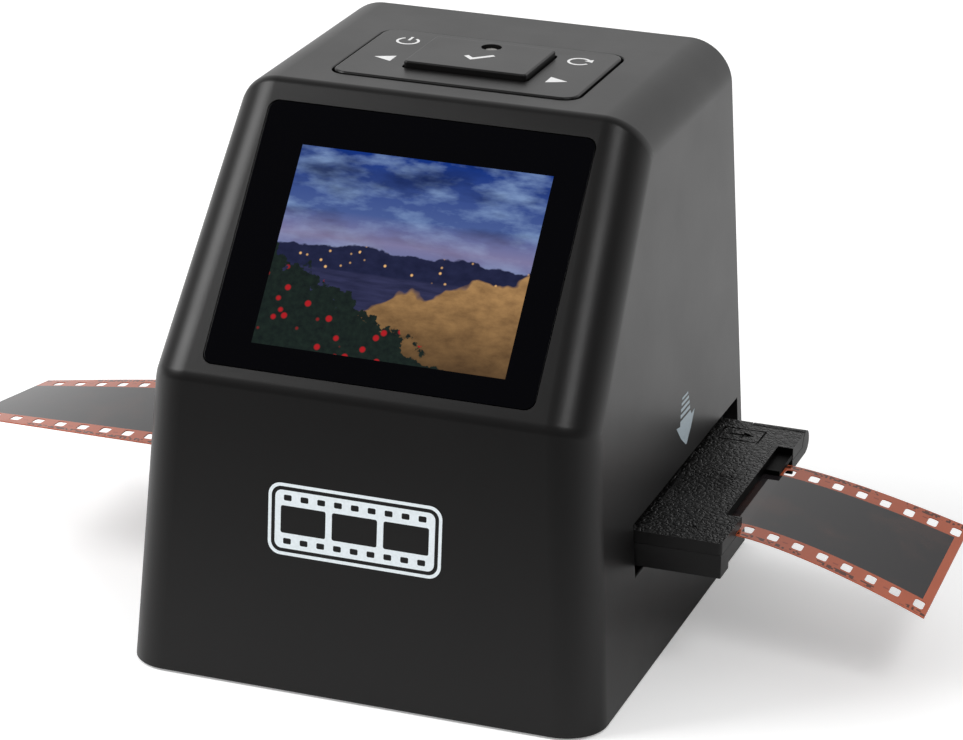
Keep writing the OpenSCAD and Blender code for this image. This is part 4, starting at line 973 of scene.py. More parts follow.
def extrude(x, y, z):
    """In edit mode, draws what is selected out by so many millimetres."""
    bpy.ops.mesh.extrude_region_move(TRANSFORM_OT_translate={"value": (x * MM, y * MM, z * MM)})


def arc_mark(name, middle, start, sweep, base, steps=28):
    """Part of a flat ring, from a start angle through a sweep to the left, in degrees."""
    x, y = middle
    mark = block(name, (x + RING_R - LINE / 2, y - 0.002, base - INK_SINK),
                 (x + RING_R + LINE / 2, y + 0.002, base + INK))
    turn = (Matrix.Translation(Vector((x, y, 0)) * MM) @ Matrix.Rotation(radians(start), 4, "Z")
            @ Matrix.Translation(Vector((-x, -y, 0)) * MM))
    mark.data.transform(turn)
    ahead = turn.to_3x3() @ Vector((0, 1, 0))
    choose(mark, "FACE", lambda middle, normal: normal.dot(ahead) > 0.9)
    # this operator counts angles to the right
    bpy.ops.mesh.spin(steps=steps, angle=-radians(sweep), center=(x * MM, y * MM, base * MM),
                      axis=(0, 0, 1))
    bpy.ops.mesh.select_all(action="SELECT")
    bpy.ops.mesh.remove_doubles(threshold=0.0005 * MM)
    face_outwards()
    leave()
    return mark


def flat_mark(name, points, base, thickness=INK, place=(0, 0)):
    """A thin plate with the given outline round a place, lying on a height."""
    deselect()
    bpy.ops.mesh.primitive_circle_add(vertices=len(points), radius=MM, fill_type="NGON")
    mark = bpy.context.object
    mark.name = name
    for vertex, (x, y) in zip(mark.data.vertices, points):
        vertex.co = Vector((place[0] + x, place[1] + y, base - INK_SINK)) * MM
    edit(mark)
    extrude(0, 0, thickness + INK_SINK)
    face_outwards()
    leave()
    return mark


def join(name, pieces):
    deselect()
    for piece in pieces:
        piece.select_set(True)
    bpy.context.view_layer.objects.active = pieces[0]
    bpy.ops.object.join()
    bpy.context.object.name = name
    return bpy.context.object


# %% Marks on the keys
RING_R = 2.0
LINE = 0.5
POWER_PLACE = (-17.0, 22.6)
POWER_ARC = (124, 292)
POWER_BAR = ((-LINE / 2, 0.5), (LINE / 2, 0.5), (LINE / 2, 2.7), (-LINE / 2, 2.7))
TURN_PLACE = (17.0, 22.2)
TURN_ARC = (42, 290)
TURN_HEAD = ((2.43, 0.15), (0.80, 0.72), (2.22, 1.90))
TRIANGLE = ((-1.85, 0), (1.85, -1.75), (1.85, 1.75))
LEFT_PLACE = (-17.3, 11.0)
RIGHT_PLACE = (17.2, 9.3)
TICK_PLACE = (0, 13.6)
TICK = ((-2.6, 0.3), (-1.95, 0.95), (-0.7, -0.3), (2.25, 2.6), (2.9, 1.95), (-0.7, -1.6))
white_ink = ink_finish("white_print", rgb(232, 232, 232))

ring_marks = {
    "power_mark": [arc_mark("power_ring", POWER_PLACE, *POWER_ARC, PLATE_TOP),
                   flat_mark("power_bar", POWER_BAR, PLATE_TOP, place=POWER_PLACE)],
    "turn_mark": [arc_mark("turn_ring", TURN_PLACE, *TURN_ARC, PLATE_TOP),
                  flat_mark("turn_head", TURN_HEAD, PLATE_TOP, place=TURN_PLACE)],
}
for name, pieces in ring_marks.items():
    finished(join(name, pieces), "plate", "white_plastic", white_ink)
for name, place, side in (("left_mark", LEFT_PLACE, 1), ("right_mark", RIGHT_PLACE, -1)):
    outline = [(side * x, side * y) for x, y in TRIANGLE]
    finished(flat_mark(name, outline, PLATE_TOP, place=place), "plate", "white_plastic", white_ink)
tick_mark = flat_mark("tick_mark", TICK, OK_TOP, place=TICK_PLACE)
finished(tick_mark, "ok_key_body", "white_plastic", white_ink)

# %% [markdown]
# ### The arrow beside the slot and the front mark
# A pale arrow on the right side says which way the film goes: four bars that grow, and a
# head. The front carries a round-ended plate mark; here it is a plain picture of a film
# frame in the same pale ink. Both are thin shapes laid on their face of the body.

# %% Arrow on the right side
ARROW_HEAD = [(8.1, 40.3), (7.9, 39.4), (5.6, 39.8), (8.1, 36.95), (10.9, 34.8), (11.4, 34.8),
              (14.3, 37.0), (17.0, 39.7), (15.0, 39.4), (14.4, 40.3)]
# where each bar starts and ends, its height and its thickness
ARROW_BARS = [(9.7, 13.3, 44.25, 0.40), (9.2, 13.7, 43.30, 0.50), (8.7, 14.0, 42.25, 0.60),
              (8.3, 14.2, 41.15, 0.65)]
pale_ink = ink_finish("pale_print", rgb(176, 190, 198))


def on_side(piece):
    """Lays a flat piece, made in y and z as its x and y, on the body's right side."""
    tilt = atan2(BASE_HALF - TOP_HALF, BODY_H - FOOT_LIFT)
    face = Matrix(((0, -sin(tilt), cos(tilt), half_width(0) * MM),
                   (1, 0, 0, 0),
                   (0, cos(tilt), sin(tilt), 0),
                   (0, 0, 0, 1)))
    piece.data.transform(face @ Matrix.Diagonal((1, 1 / cos(tilt), 1, 1)))
    return piece


bars = [flat_mark("bar", [(a, z - t / 2), (b, z - t / 2), (b, z + t / 2), (a, z + t / 2)], 0)
        for a, b, z, t in ARROW_BARS]
arrow = on_side(join("slot_arrow", [flat_mark("head", ARROW_HEAD, 0)] + bars))
finished(arrow, "body", "white_plastic", pale_ink)

# %% Film-frame mark on the front
BADGE = (33.0, 13.6)
BADGE_PLACE = (-0.6, 33.4)
BADGE_LINE = 0.6
BADGE_GAP = 1.3
BADGE_HOLE = (1.5, 1.1)
BADGE_FRAME = (8.6, 5.2)
HOLE_STEP = (3.2, 4.1)
FRAME_STEP = 9.8
badge_ink = ink_finish("badge_print", rgb(222, 230, 234))


def on_front(piece):
    """Lays a flat piece, made in x and z as its x and y, on the body's front."""
    lean = atan2(KNEE[0] - FRONT_Y, KNEE[1] - FOOT_LIFT)
    piece.data.transform(Matrix((
        (1, 0, 0, 0),
        (0, sin(lean), -cos(lean), (FRONT_Y - sin(lean) * FOOT_LIFT) * MM),
        (0, cos(lean), sin(lean), 0),
        (0, 0, 0, 1))))
    return piece


def badge_cutter(size, radius, segments, x=0.0, y=0.0):
    middle = (BADGE_PLACE[0] + x, BADGE_PLACE[1] + y)
    return slab("cutter", size, middle, -1, 1, radius, segments)


badge = slab("badge", BADGE, BADGE_PLACE, -INK_SINK, INK, 2.4)
cut(badge, badge_cutter(grown(BADGE, -BADGE_LINE), 1.9, 8))
strip = slab("strip", grown(BADGE, -BADGE_GAP), BADGE_PLACE, -INK_SINK, INK, 1.3, 6)
for i in range(-4, 5):
    for side in (-1, 1):
        cut(strip, badge_cutter(BADGE_HOLE, 0.25, 3, i * HOLE_STEP[0], side * HOLE_STEP[1]))
for i in (-1, 0, 1):
    cut(strip, badge_cutter(BADGE_FRAME, 0.4, 3, i * FRAME_STEP))
film_mark = on_front(join("film_mark", [badge, strip]))
finished(film_mark, "body", "white_plastic", badge_ink)

# %% [markdown]
# ## The film tray
# The tray is two black mouldings hinged along their back edge. Its top has the leather-like
# grain that mould makers etch to hide wear, and its sides are plain. The faces in the notch at
# its end get a darker, less glossy finish as painted shade, since little light reaches into it.
# Each half starts as a block that is cut by the underside steps, the picture window, the notch
# where the film comes out, and the hinge's reliefs. The barrels of the hinge are welded on. The
# outer edges are rounded, and the seam between the halves stays a hairline, with a small bevel
# at the right end only.

# %% Leather grain
GRAIN_SIZE = 1.15
WANDER = (2.0, 0.0030)


def leathered(name, colour, roughness):
    """Pebbles between creases: cells whose borders a noise has pushed about. The creases are also painted
    darker, as painted shade.
    """
    material, shader = fresh(name, IOR=1.28)
    at = where()
    wander = noise(at, WANDER[0] * MM, 3.0, output="Color")
    moved = vector_maths("ADD", at, {1: vector_maths("SCALE", wander, {"Scale": WANDER[1]})})
    pebble = cells(moved, GRAIN_SIZE, feature="SMOOTH_F1", Smoothness=0.35)
    crease = spread(cells(moved, GRAIN_SIZE, feature="DISTANCE_TO_EDGE"), 0.0, 0.22)
    fine = grain(at, 0.4, 3)
    # the creases' colour is painted darker than the pebbles: painted shade in the grain's hollows
    dress(shader, Base_Color=mixed(crease, duller(colour, 0.6), colour),
          Roughness=spread(fine, *CLOUDY, roughness - 0.06, roughness + 0.06))
    relief(shader, crease * 0.75 + (fine * 0.35 + pebble * -0.5), 0.15, 0.85)
    return material


tray_grain = leathered("tray_leather_grain", rgb(11, 10, 10), 0.36)
tray_plain = moulded("tray_plain_plastic", rgb(13, 12, 12), 0.42, 0.3, 0.012, 1.32)
# painted shade: a darker, less glossy copy of the tray plastic for the faces inside the notch
notch_shade_paint = moulded("tray_notch_painted_shade", rgb(5, 5, 5), 0.5, 0.3, 0.012, 1.12)
print("grain nodes:", len(tray_grain.node_tree.nodes))

# %% Tray sizes
TRAY_X = (-49.5, 59.7)
TRAY_FRONT = -20.1
TRAY_FOOT = 23.2
TRAY_TOP = 30.1
BELOW_TRAY = 20
HINGE = (36.8, 27.9)
SEAM = 27.7
LID_FOOT = 27.75
UNDER = (TRAY_FRONT + 5, 24.8)
BACK_STEP = (HINGE[0] - 8.8, 25.6)
BARREL_R = 2.2
RELIEF_R = 2.5
PIN_HOLE_R = 0.65
PIN_CAP = 0.4
BASE_KNUCKLES = [(-49.5, -39.0), (-4.9, 15.1), (49.2, 59.7)]
LID_KNUCKLES = [(-38.6, -5.3), (15.5, 48.8)]
KNUCKLE_GAP = 0.4
NOTCH = ((56.7, -7.2), (60.7, 27.3))
FRAME_HOLE = (36.4, 24.4)
FILM_W = 35.0
CHANNEL_HALF = FILM_W / 2 + 0.2
CHANNEL_TOP = SEAM + 0.6
LEDGE = (18.4, 28.05, 28.9)
BEYOND = ROUGH + 10


def hinge_rod(name, ends, radius, more=0.0):
    return rod(name, (ends[0] - more, *HINGE), (ends[1] + more, *HINGE), radius, 40)


def from_hinge(p):
    return hypot(p.y - HINGE[0], p.z - HINGE[1])


def across_tray(name, y_from, z_from, y_to, z_to):
    """A block right through the tray, from side to side."""
    return block(name, (-BEYOND, y_from, z_from), (BEYOND, y_to, z_to))


def tray_half(name, foot, top, own_knuckles, other_knuckles, *cutters):
    """One half of the tray, with its barrels, and with room for the barrels of the other."""
    half = block(name, (TRAY_X[0], TRAY_FRONT, foot), (TRAY_X[1], HINGE[0], top))
    cut(half, *cutters)
    for ends in other_knuckles:
        cut(half, hinge_rod("relief", ends, RELIEF_R, KNUCKLE_GAP))
    for ends in own_knuckles:
        weld(half, hinge_rod("barrel", ends, BARREL_R))
    return half


def tray_cutters(low, high):
    """What both halves of the tray have cut away: pin hole, picture window and notch."""
    return [hinge_rod("pin_hole", (TRAY_X[0] - 1, TRAY_X[1] - PIN_CAP), PIN_HOLE_R),
            slab("frame_hole", FRAME_HOLE, (0, FILM_Y), low - 1, high + 1, 0.8, 5),
            block("notch", (*NOTCH[0], low - 1), (*NOTCH[1], high + 1))]


# %% Edges that both halves have
SEAM_BEVEL = 0.18
ARC_ROUND = 0.3
BARREL_ROUND = 0.5
END_ROUND = 0.7


def is_barrel_end(knuckles):
    """Edges of the round ends of the hinge's barrels, where they face their neighbours."""
    ends = [x for pair in knuckles for x in pair]
    on_rim = both(lambda p: near(from_hinge(p), BARREL_R, 0.03) and p.y > HINGE[0] - 0.3)
    return lambda a, b: on_rim(a, b) and any(near(a.x, x) and near(b.x, x) for x in ends)


def is_end_seam(height):
    """Edges of the right end face along the seam between the halves."""
    return both(lambda p: near(p.x, TRAY_X[1]) and near(p.z, height))


def is_end_arc(radius):
    """Edges of the right end face along the arc round the hinge's end knuckle."""
    return both(lambda p: near(p.x, TRAY_X[1]) and p.z > SEAM - 0.05
                and near(from_hinge(p), radius, 0.03))


# %% Tray base
HINGE_ZONE_Y = 30
BASE_GRAIN_FROM = 27.9


def is_low_outer(a, b):
    """The low edges and the upright corners of the tray's ends, away from the seam."""
    if min(a.y, b.y) > HINGE_ZONE_Y or max(a.z, b.z) > SEAM + HAIR:
        return False
    at_front = both(lambda p: near(p.y, TRAY_FRONT))(a, b)
    at_end = [both(lambda p: near(p.x, x))(a, b) for x in TRAY_X]
    touches_end = any(near(p.x, x) for p in (a, b) for x in TRAY_X)
    upright = abs(a.z - b.z) > 2 and at_front and touches_end
    low = max(a.z, b.z) < TRAY_FOOT + HAIR and (at_front or any(at_end))
    return upright or low


tray_base = tray_half("tray_base_half", TRAY_FOOT, SEAM, BASE_KNUCKLES, LID_KNUCKLES,
                      across_tray("under", UNDER[0], 0, HINGE[0] + 1, UNDER[1]),
                      across_tray("back_step", BACK_STEP[0], 0, HINGE[0] + 1, BACK_STEP[1]))
cut(tray_base, *tray_cutters(BELOW_TRAY, SEAM))
clean(tray_base)
for width, segments, test in ((SEAM_BEVEL, 1, is_end_seam(SEAM)), (ARC_ROUND, 2, is_end_arc(BARREL_R)),
                              (END_ROUND, 4, is_low_outer),
                              (BARREL_ROUND, 3, is_barrel_end(BASE_KNUCKLES))):
    print("base edges", round_edges(tray_base, width, segments, test))
smooth(tray_base)
finished(tray_base, "tray", "black_plastic", tray_plain, "tray_base")


# %% Grain on the top
def grain_the_top(piece, lowest):
    """Gives the leather grain to the faces that look up, and the painted shade finish to the notch faces."""
    for finish in (tray_grain, notch_shade_paint):
        piece.data.materials.append(finish)
    (x_from, y_from), (_, y_to) = NOTCH
    for face in piece.data.polygons:
        x, y, z = face.center / MM
        in_notch = x_from - 0.3 < x < TRAY_X[1] - 0.02 and y_from < y < y_to + 0.1
        # faces inside the notch get the painted shade finish, standing in for the dim recess
        if in_notch and z < TRAY_TOP - 0.3:
            face.material_index = 2
        elif face.normal.z > 0.25 and z > lowest:
            face.material_index = 1
    grained = sum(face.material_index == 1 for face in piece.data.polygons)
    print(piece.name, "has", grained, "faces with the leather grain")


grain_the_top(tray_base, BASE_GRAIN_FROM)

# %% Tray lid
GROOVE_ROUND = 0.65
TOP_EDGE_ROUND = 0.4
BESIDE_WINDOW_X = 20
END_KNUCKLE_X = 38
LID_GRAIN_FROM = 28.2
GROOVE_Y = HINGE[0] - sqrt(RELIEF_R ** 2 - (TRAY_TOP - HINGE[1]) ** 2)


def is_top_outline(a, b):
    """The lid's top outline, apart from its barrels and its picture window."""
    return (above(TRAY_TOP)(a, b) and max(a.y, b.y) < HINGE[0] - 0.5
            and max(abs(a.x), abs(b.x)) >= BESIDE_WINDOW_X)


def is_lid_corner(a, b):
    return abs(a.z - b.z) > 1 and all(near(p.y, TRAY_FRONT) for p in (a, b))


@both
def is_beside_knuckle(p):
    """The lid's upper edge along the groove in front of the base's end knuckles."""
    return above(TRAY_TOP)(p, p) and near(p.y, GROOVE_Y, 0.05) and abs(p.x) > END_KNUCKLE_X


tray_lid = tray_half("tray_lid_half", LID_FOOT, TRAY_TOP, LID_KNUCKLES, BASE_KNUCKLES)
cut(tray_lid, *tray_cutters(LID_FOOT, TRAY_TOP),
    across_tray("channel", FILM_Y - CHANNEL_HALF, BELOW_TRAY,
                FILM_Y + CHANNEL_HALF, CHANNEL_TOP))
weld(tray_lid, block("ledge", (NOTCH[0][0] - SUNK, LEDGE[0], LEDGE[1]),
                     (TRAY_X[1] - 0.1, NOTCH[1][1] + SUNK, LEDGE[2])))
clean(tray_lid)
for width, segments, test in ((END_ROUND, 4, is_lid_corner), (SEAM_BEVEL, 1, is_end_seam(LID_FOOT)),
                              (ARC_ROUND, 2, is_end_arc(RELIEF_R)),
                              (GROOVE_ROUND, 3, is_beside_knuckle),
                              (TOP_EDGE_ROUND, 3, is_top_outline),
                              (BARREL_ROUND, 3, is_barrel_end(LID_KNUCKLES))):
    print("lid edges", round_edges(tray_lid, width, segments, test))

# %% [markdown]
# The lid's top has a shallow scoop for the thumb, a short raised bar that marks its end, and
# an engraved box. The scoop is a slice of a very large cylinder. Inside the box the real one
# has letters; this one has a plain arrow that points to the right.

# %% Thumb scoop, bar and engraved box
THUMB_X = (43.7, 53.7)
THUMB_Y = FILM_Y - 4.4
THUMB_HALF = 8.6
THUMB_DEPTH = 0.7
BOX = (8.4, 6.2)
BOX_PLACE = (52.9 - BOX[0] / 2, FILM_Y + 23.5)
BOX_LINE = 0.4
ENGRAVE = 0.3
BOX_ARROW = [(-2.4, 0.3), (0.2, 0.3), (0.2, 1.4), (2.5, 0), (0.2, -1.4), (0.2, -0.3), (-2.4, -0.3)]
END_BAR = ((52.5, FILM_Y - 21.3), (53.3, FILM_Y - 14.6))
BAR_RISE = 0.2

scoop_r = (THUMB_HALF ** 2 + THUMB_DEPTH ** 2) / (2 * THUMB_DEPTH)
scoop_z = TRAY_TOP - THUMB_DEPTH + scoop_r
cut(tray_lid, rod("scoop", (THUMB_X[0], THUMB_Y, scoop_z), (THUMB_X[1], THUMB_Y, scoop_z), scoop_r, 256))
box_line = slab("line", BOX, BOX_PLACE, TRAY_TOP - ENGRAVE, TRAY_TOP + 1, 0.3, 3)
cut(box_line, slab("inside", grown(BOX, -BOX_LINE), BOX_PLACE, TRAY_TOP - 1, TRAY_TOP + 2, 0.2, 3))
cut(tray_lid, box_line, flat_mark("box_arrow", BOX_ARROW, TRAY_TOP - ENGRAVE, 1.5, BOX_PLACE))
bar = block("bar", (*END_BAR[0], TRAY_TOP - SUNK), (*END_BAR[1], TRAY_TOP + BAR_RISE))
round_edges(bar, 0.12, 2, above(TRAY_TOP + BAR_RISE))
weld(tray_lid, bar)
smooth(tray_lid)
finished(tray_lid, "lid", "black_plastic", tray_plain, "tray_lid")
grain_the_top(tray_lid, LID_GRAIN_FROM)

# %% [markdown]
# ## The film strip
# 35 mm film is 35 mm wide, with a row of holes 4.75 mm apart along each edge. One length of
# 4.75 mm is made with its two holes, repeated with an array, and then bent: each point keeps
# its distance along the strip, and sinks by the droop of its end. Bending the finished
# pattern keeps the holes' spacing true, as it stays in real film.

# %% One length of film, repeated
PITCH = 4.75
FIRST_HOLE = 65.75
HOLES_RIGHT = 6
HOLES_LEFT = 33
HOLE = (1.98, 2.8)
HOLE_R = 0.5
HOLE_ROW = 14.08
FILM_T = 0.2
FILM_Z = 27.75
BEND_LINES = (-1.6, -0.8, 0, 0.8, 1.6)


def repeat(piece, count, pitch, **settings):
    """Repeats a piece along x."""
    modify(piece, "ARRAY", count=count, use_relative_offset=False, use_constant_offset=True,
           constant_offset_displace=(pitch * MM, 0, 0), **settings)


def slice_at(x, **settings):
    """In edit mode, cuts what is selected with an upright plane across the film."""
    bpy.ops.mesh.select_all(action="SELECT")
    bpy.ops.mesh.bisect(plane_co=(x * MM, 0, 0), plane_no=(1, 0, 0), **settings)


def edge_at(x):
    return both(lambda p: near(p.x, x))


cell_x = FIRST_HOLE - PITCH * HOLES_LEFT
film = block("film", (cell_x - PITCH / 2, FILM_Y - FILM_W / 2, FILM_Z),
             (cell_x + PITCH / 2, FILM_Y + FILM_W / 2, FILM_Z + FILM_T))
for side in (-1, 1):
    hole_place = (cell_x, FILM_Y + side * HOLE_ROW)
    cut(film, slab("hole", HOLE, hole_place, FILM_Z - 1, FILM_Z + 1, HOLE_R, 4))
edit(film)
for x in BEND_LINES:
    slice_at(cell_x + x)
leave()
choose(film, "FACE", lambda middle, normal: abs(normal.x) > 0.99
       and near(abs(middle.x - cell_x), PITCH / 2))
bpy.ops.mesh.delete(type="FACE")
leave()
repeat(film, HOLES_LEFT + HOLES_RIGHT + 1, PITCH, use_merge_vertices=True,
       merge_threshold=0.005 * MM)
print("film pattern:", len(film.data.polygons), "faces")

# %% Bend the strip
FLAT = {1: 59.7, -1: -54.75}
FILM_REACH = 95.0
# how far each end hangs at its front and at its back edge, and how it curls
DROOP = {1: (10.4, 7.1, 1.4), -1: (0.2, 5.7, 1.15)}
BEND_STEPS = 400


def side_of(x):
    """Which end a place lies in: 1 on the right, -1 on the left, 0 in the flat middle."""
    return 1 if x > FLAT[1] else -1 if x < FLAT[-1] else 0


def droop(x, share):
    """How far the film hangs at a place; share runs from 0 at its front edge to 1 at its back."""
    side = side_of(x)
    if side == 0:
        return 0.0
    front, back, curl = DROOP[side]
    part = (x - FLAT[side]) / (side * FILM_REACH - FLAT[side])
    return (front + (back - front) * share) * part ** curl


def bent_places(side):
    """Pairs of distance along the strip and place across the table, from a flat end outwards."""
    start, end = FLAT[side], side * FILM_REACH
    pairs = [(start, start)]
    for i in range(BEND_STEPS):
        a = start + (end - start) * i / BEND_STEPS
        b = start + (end - start) * (i + 1) / BEND_STEPS
        fall = droop(b, 0.5) - droop(a, 0.5)
        pairs.append((pairs[-1][0] + side * hypot(b - a, fall), b))
    return pairs


def look_up(pairs, along):
    for (s0, x0), (s1, x1) in zip(pairs, pairs[1:]):
        if min(s0, s1) <= along <= max(s0, s1):
            return x0 + (x1 - x0) * (along - s0) / (s1 - s0)
    return pairs[-1][1]


bent = {side: bent_places(side) for side in (1, -1)}
strip_right = bent[1][-1][0]
strip_left = bent[-1][-1][0]

edit(film)
slice_at(strip_right, clear_outer=True)
leave()
left_edge = cell_x - PITCH / 2
choose(film, "EDGE", edge_at(left_edge))
extrude(strip_left - left_edge, 0, 0)
leave()
for end in (strip_left, strip_right):
    choose(film, "EDGE", edge_at(end))
    bpy.ops.mesh.edge_face_add()
    leave()
edit(film)
face_outwards()
leave()
for vertex in film.data.vertices:
    along, y, z = vertex.co / MM
    side = side_of(along)
    x = look_up(bent[side], along) if side else along
    share = (y - FILM_Y + FILM_W / 2) / FILM_W
    vertex.co = Vector((x, y, z - droop(x, share))) * MM
print("strip", round(strip_right - strip_left, 1), "mm long,", len(film.data.polygons), "faces")

# %% [markdown]
# ### The film's colours
# Colour negative film has an orange base that shows at its margins and between the pictures.
# The pictures themselves look dark grey when the film lies on a table. Dark marks are exposed
# along its outer edges: here they are only bars and dots, as a bar code for a processing
# machine. The strip is glossy, so it brightens where it is seen at a low angle.

# %% Film finish
FILM_BASE = (rgb(166, 78, 48), rgb(182, 92, 60))
FILM_PRINT = rgb(44, 22, 16)
FILM_FLECK = rgb(120, 50, 38)
NEGATIVE = (rgb(34, 31, 33), rgb(62, 44, 40))
PICTURE_PITCH = 38.0
PICTURE_END = 93.4
PICTURE_LENGTH = 37.4
PICTURE_HALF = 12.0
LEFT_RUN_END = -46.0
PRINT_BAND = (15.95, 17.15)
PRINT_CELL = (0.00042, 0.0006, 1.0)
PRINT_SHARE = 0.45
GROUP_SCALE = 1 / 120
GROUP_SHARE = 0.42
FLECK_ROW = 14.6
FLECK_HALF = (0.5, 0.22)


def film_finish():
    material, shader = fresh("colour_negative_film", IOR=1.33, Roughness=0.07)
    at = where()
    x, y = [value / MM for value in axes(at, "X", "Y")]
    off_middle = abs(y - FILM_Y)
    base = mixed(grain(at, 9, 3), *FILM_BASE)
    # bars and dots near the outer edges
    cell = vector_maths("FLOOR", vector_maths("DIVIDE", at, {1: PRINT_CELL}))
    chance = put("ShaderNodeTexWhiteNoise", {"Vector": cell}, "Value")
    group = noise(at, GROUP_SCALE, 0.0)
    printed = (chance > PRINT_SHARE) * (group > GROUP_SHARE)
    band = (off_middle > PRINT_BAND[0]) * (off_middle < PRINT_BAND[1])
    base = mixed(printed * band * 0.85, base, FILM_PRINT)
    # small marks between the holes
    between = abs((x - FIRST_HOLE) % (PITCH * 2) - PITCH / 2)
    fleck = (between < FLECK_HALF[0]) * (abs(off_middle - FLECK_ROW) < FLECK_HALF[1])
    base = mixed(fleck * 0.6, base, FILM_FLECK)
    # the pictures, and one long dark run at the left end
    place = (PICTURE_END - x) % PICTURE_PITCH
    inside_x = spread(place, PICTURE_LENGTH, PICTURE_LENGTH + 0.15, 1, 0)
    inside_x = maths("MAXIMUM", inside_x, x < LEFT_RUN_END) * (x < PICTURE_END)
    inside = inside_x * spread(off_middle, PICTURE_HALF, PICTURE_HALF + 0.2, 1, 0)
    blot = spread(grain(at, 13, 5, 0.6), 0.52, 0.68)
    dress(shader, Base_Color=mixed(inside, base, mixed(blot * 0.7, *NEGATIVE)),
          Roughness=spread(grain(at, 16, 3), *CLOUDY, 0.05, 0.09))
    return material


film_material = film_finish()
smooth(film)
finished(film, "film", "film", film_material, "film_strip")

# %% [markdown]
# ## The back, the bottom and what shows through the openings
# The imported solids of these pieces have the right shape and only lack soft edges. A copy of
# the solid's mesh has its doubled points merged and its flat faces made whole, and then its
# outer edges get a small radius. Modelling them again by hand would give the same faces.

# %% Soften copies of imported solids
COVER_EDGE = 0.22
BASE_EDGE = 0.2
BASE_RIM_Z = 0.93
cover_plastic = moulded("cover_plastic", rgb(16, 15, 15), 0.46, 0.45, 0.03, drift=0.02)


def softened(name, node, slot, material, width, test):
    """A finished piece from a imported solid's mesh, with the edges that pass the test rounded."""
    piece = bpy.data.objects.new(name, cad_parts[node].data.copy())
    bpy.context.scene.collection.objects.link(piece)
    activate(piece)
    bpy.ops.mesh.customdata_custom_splitnormals_clear()
    clean(piece)
    round_edges(piece, width, 2, test)
    smooth(piece)
    finished(piece, "body", slot, material, node)


is_on_back = both(lambda p: near(p.y, rear_at(p.z), 0.03))
is_under = both(lambda p: p.z < BASE_RIM_Z)
softened("rear_cover_panel", "rear_cover", "black_plastic", cover_plastic, COVER_EDGE, is_on_back)
softened("base_plate_panel", "base_plate", "black_plastic", cover_plastic, BASE_EDGE, is_under)

# %% [markdown]
# ### Feet
# Four soft rubber discs are pressed into the bottom. One is turned from a short cylinder with
# a rounded lower rim and a ring-shaped groove, and the other three are copies of it.

# %% Rubber feet
FOOT_PLACE = (30.0, 29.0)
FOOT_R = 5.0
FOOT_T = 0.9
FOOT_ROUND = 0.3
# from the rim inwards: width and depth of the flat, the groove's wall, its bottom and wall
FOOT_RINGS = ((1.2, 0), (0.35, -0.2), (0.7, 0), (0.35, 0.2))
rubber = moulded("foot_rubber", rgb(26, 25, 25), 0.75, 0.25, 0.03, ior=1.3, drift=0.05)

foot = rod("foot", (*FOOT_PLACE, 0), (*FOOT_PLACE, FOOT_T), FOOT_R, 40)
round_edges(foot, FOOT_ROUND, 3, both(lambda p: p.z < HAIR))
choose(foot, "FACE", lambda middle, normal: normal.z < -0.99 and middle.z < HAIR)
for width, depth in FOOT_RINGS:
    bpy.ops.mesh.inset(thickness=width * MM, depth=depth * MM)
leave()
feet = [foot]
for dx, dy in ((1, 0), (0, 1), (1, 1)):
    other = foot.copy()
    other.data = foot.data.copy()
    bpy.context.scene.collection.objects.link(other)
    move = Vector((-2 * dx * FOOT_PLACE[0], -2 * dy * FOOT_PLACE[1], 0)) * MM
    other.data.transform(Matrix.Translation(move))
    feet.append(other)
feet = join("feet", feet)
smooth(feet)
finished(feet, "body", "rubber", rubber, "rubber_feet")

# %% [markdown]
# ### Metal
# The screws are zinc-plated steel, and the sockets behind the openings in the back are bent
# from tinned sheet. Two noises give all metals their look: one stretched along the axis of
# the work for fine scratches, and one for cloudy wear.

# %% Screws and sockets
SCREW_EDGE = 0.12
SCREW_FLAT_R = 2.2
BASE_HEAD_Z = 0.75
REAR_HEAD_Y = 46.0
SOCKET_MOUTH = 46.18
CABLE_SOCKET_EDGE = 0.12
CARD_SOCKET_EDGE = 0.08


def metal(name, colour, roughness, scratch=0.12, stretch=(1, 1, 9)):
    material, shader = fresh(name, Metallic=1.0)
    at = where()
    squeezed = put("ShaderNodeMapping", {"Vector": at, "Scale": stretch}, "Vector")
    lines = grain(squeezed, scratch, 3, 0.6)
    cloud = spread(grain(at, 1.6, 3), *CLOUDY)
    dress(shader, Base_Color=mixed(cloud, duller(colour, 0.78), colour),
          Roughness=spread(lines, 0.25, 0.75, roughness - 0.08, roughness + 0.12))
    relief(shader, lines, 0.008, 0.6)
    return material


@both
def is_base_head(p):
    x, *rows = BASE_BOSS
    return p.z < BASE_HEAD_Z and min(hypot(abs(p.x) - x, p.y - y) for y in rows) > SCREW_FLAT_R


@both
def is_rear_head(p):
    x, z = REAR_BOSS
    return p.y > REAR_HEAD_Y and hypot(abs(p.x) - x, p.z - z) > SCREW_FLAT_R


steel = metal("zinc_plated_steel", rgb(176, 178, 182), 0.34)
tin = metal("tinned_sheet", rgb(190, 190, 188), 0.28, 0.2, (1, 6, 1))
brass = metal("turned_brass", rgb(206, 168, 96), 0.3)
gold = metal("contact_gold", rgb(222, 178, 92), 0.25, 0.1, (9, 1, 1))
is_mouth = both(lambda p: p.y > SOCKET_MOUTH)
for settings in (
        ("base_screw_set", "base_screws", "steel", steel, SCREW_EDGE, is_base_head),
        ("rear_screw_set", "rear_screws", "steel", steel, SCREW_EDGE, is_rear_head),
        ("cable_socket_shell", "usb_socket", "steel", tin, CABLE_SOCKET_EDGE, is_mouth),
        ("card_socket_shell", "card_socket", "steel", tin, CARD_SOCKET_EDGE, is_mouth)):
    softened(*settings)

# %% [markdown]
# The cable socket has a tongue with contacts, and the card socket a row of springs. One
# spring of each row is modelled and then repeated.

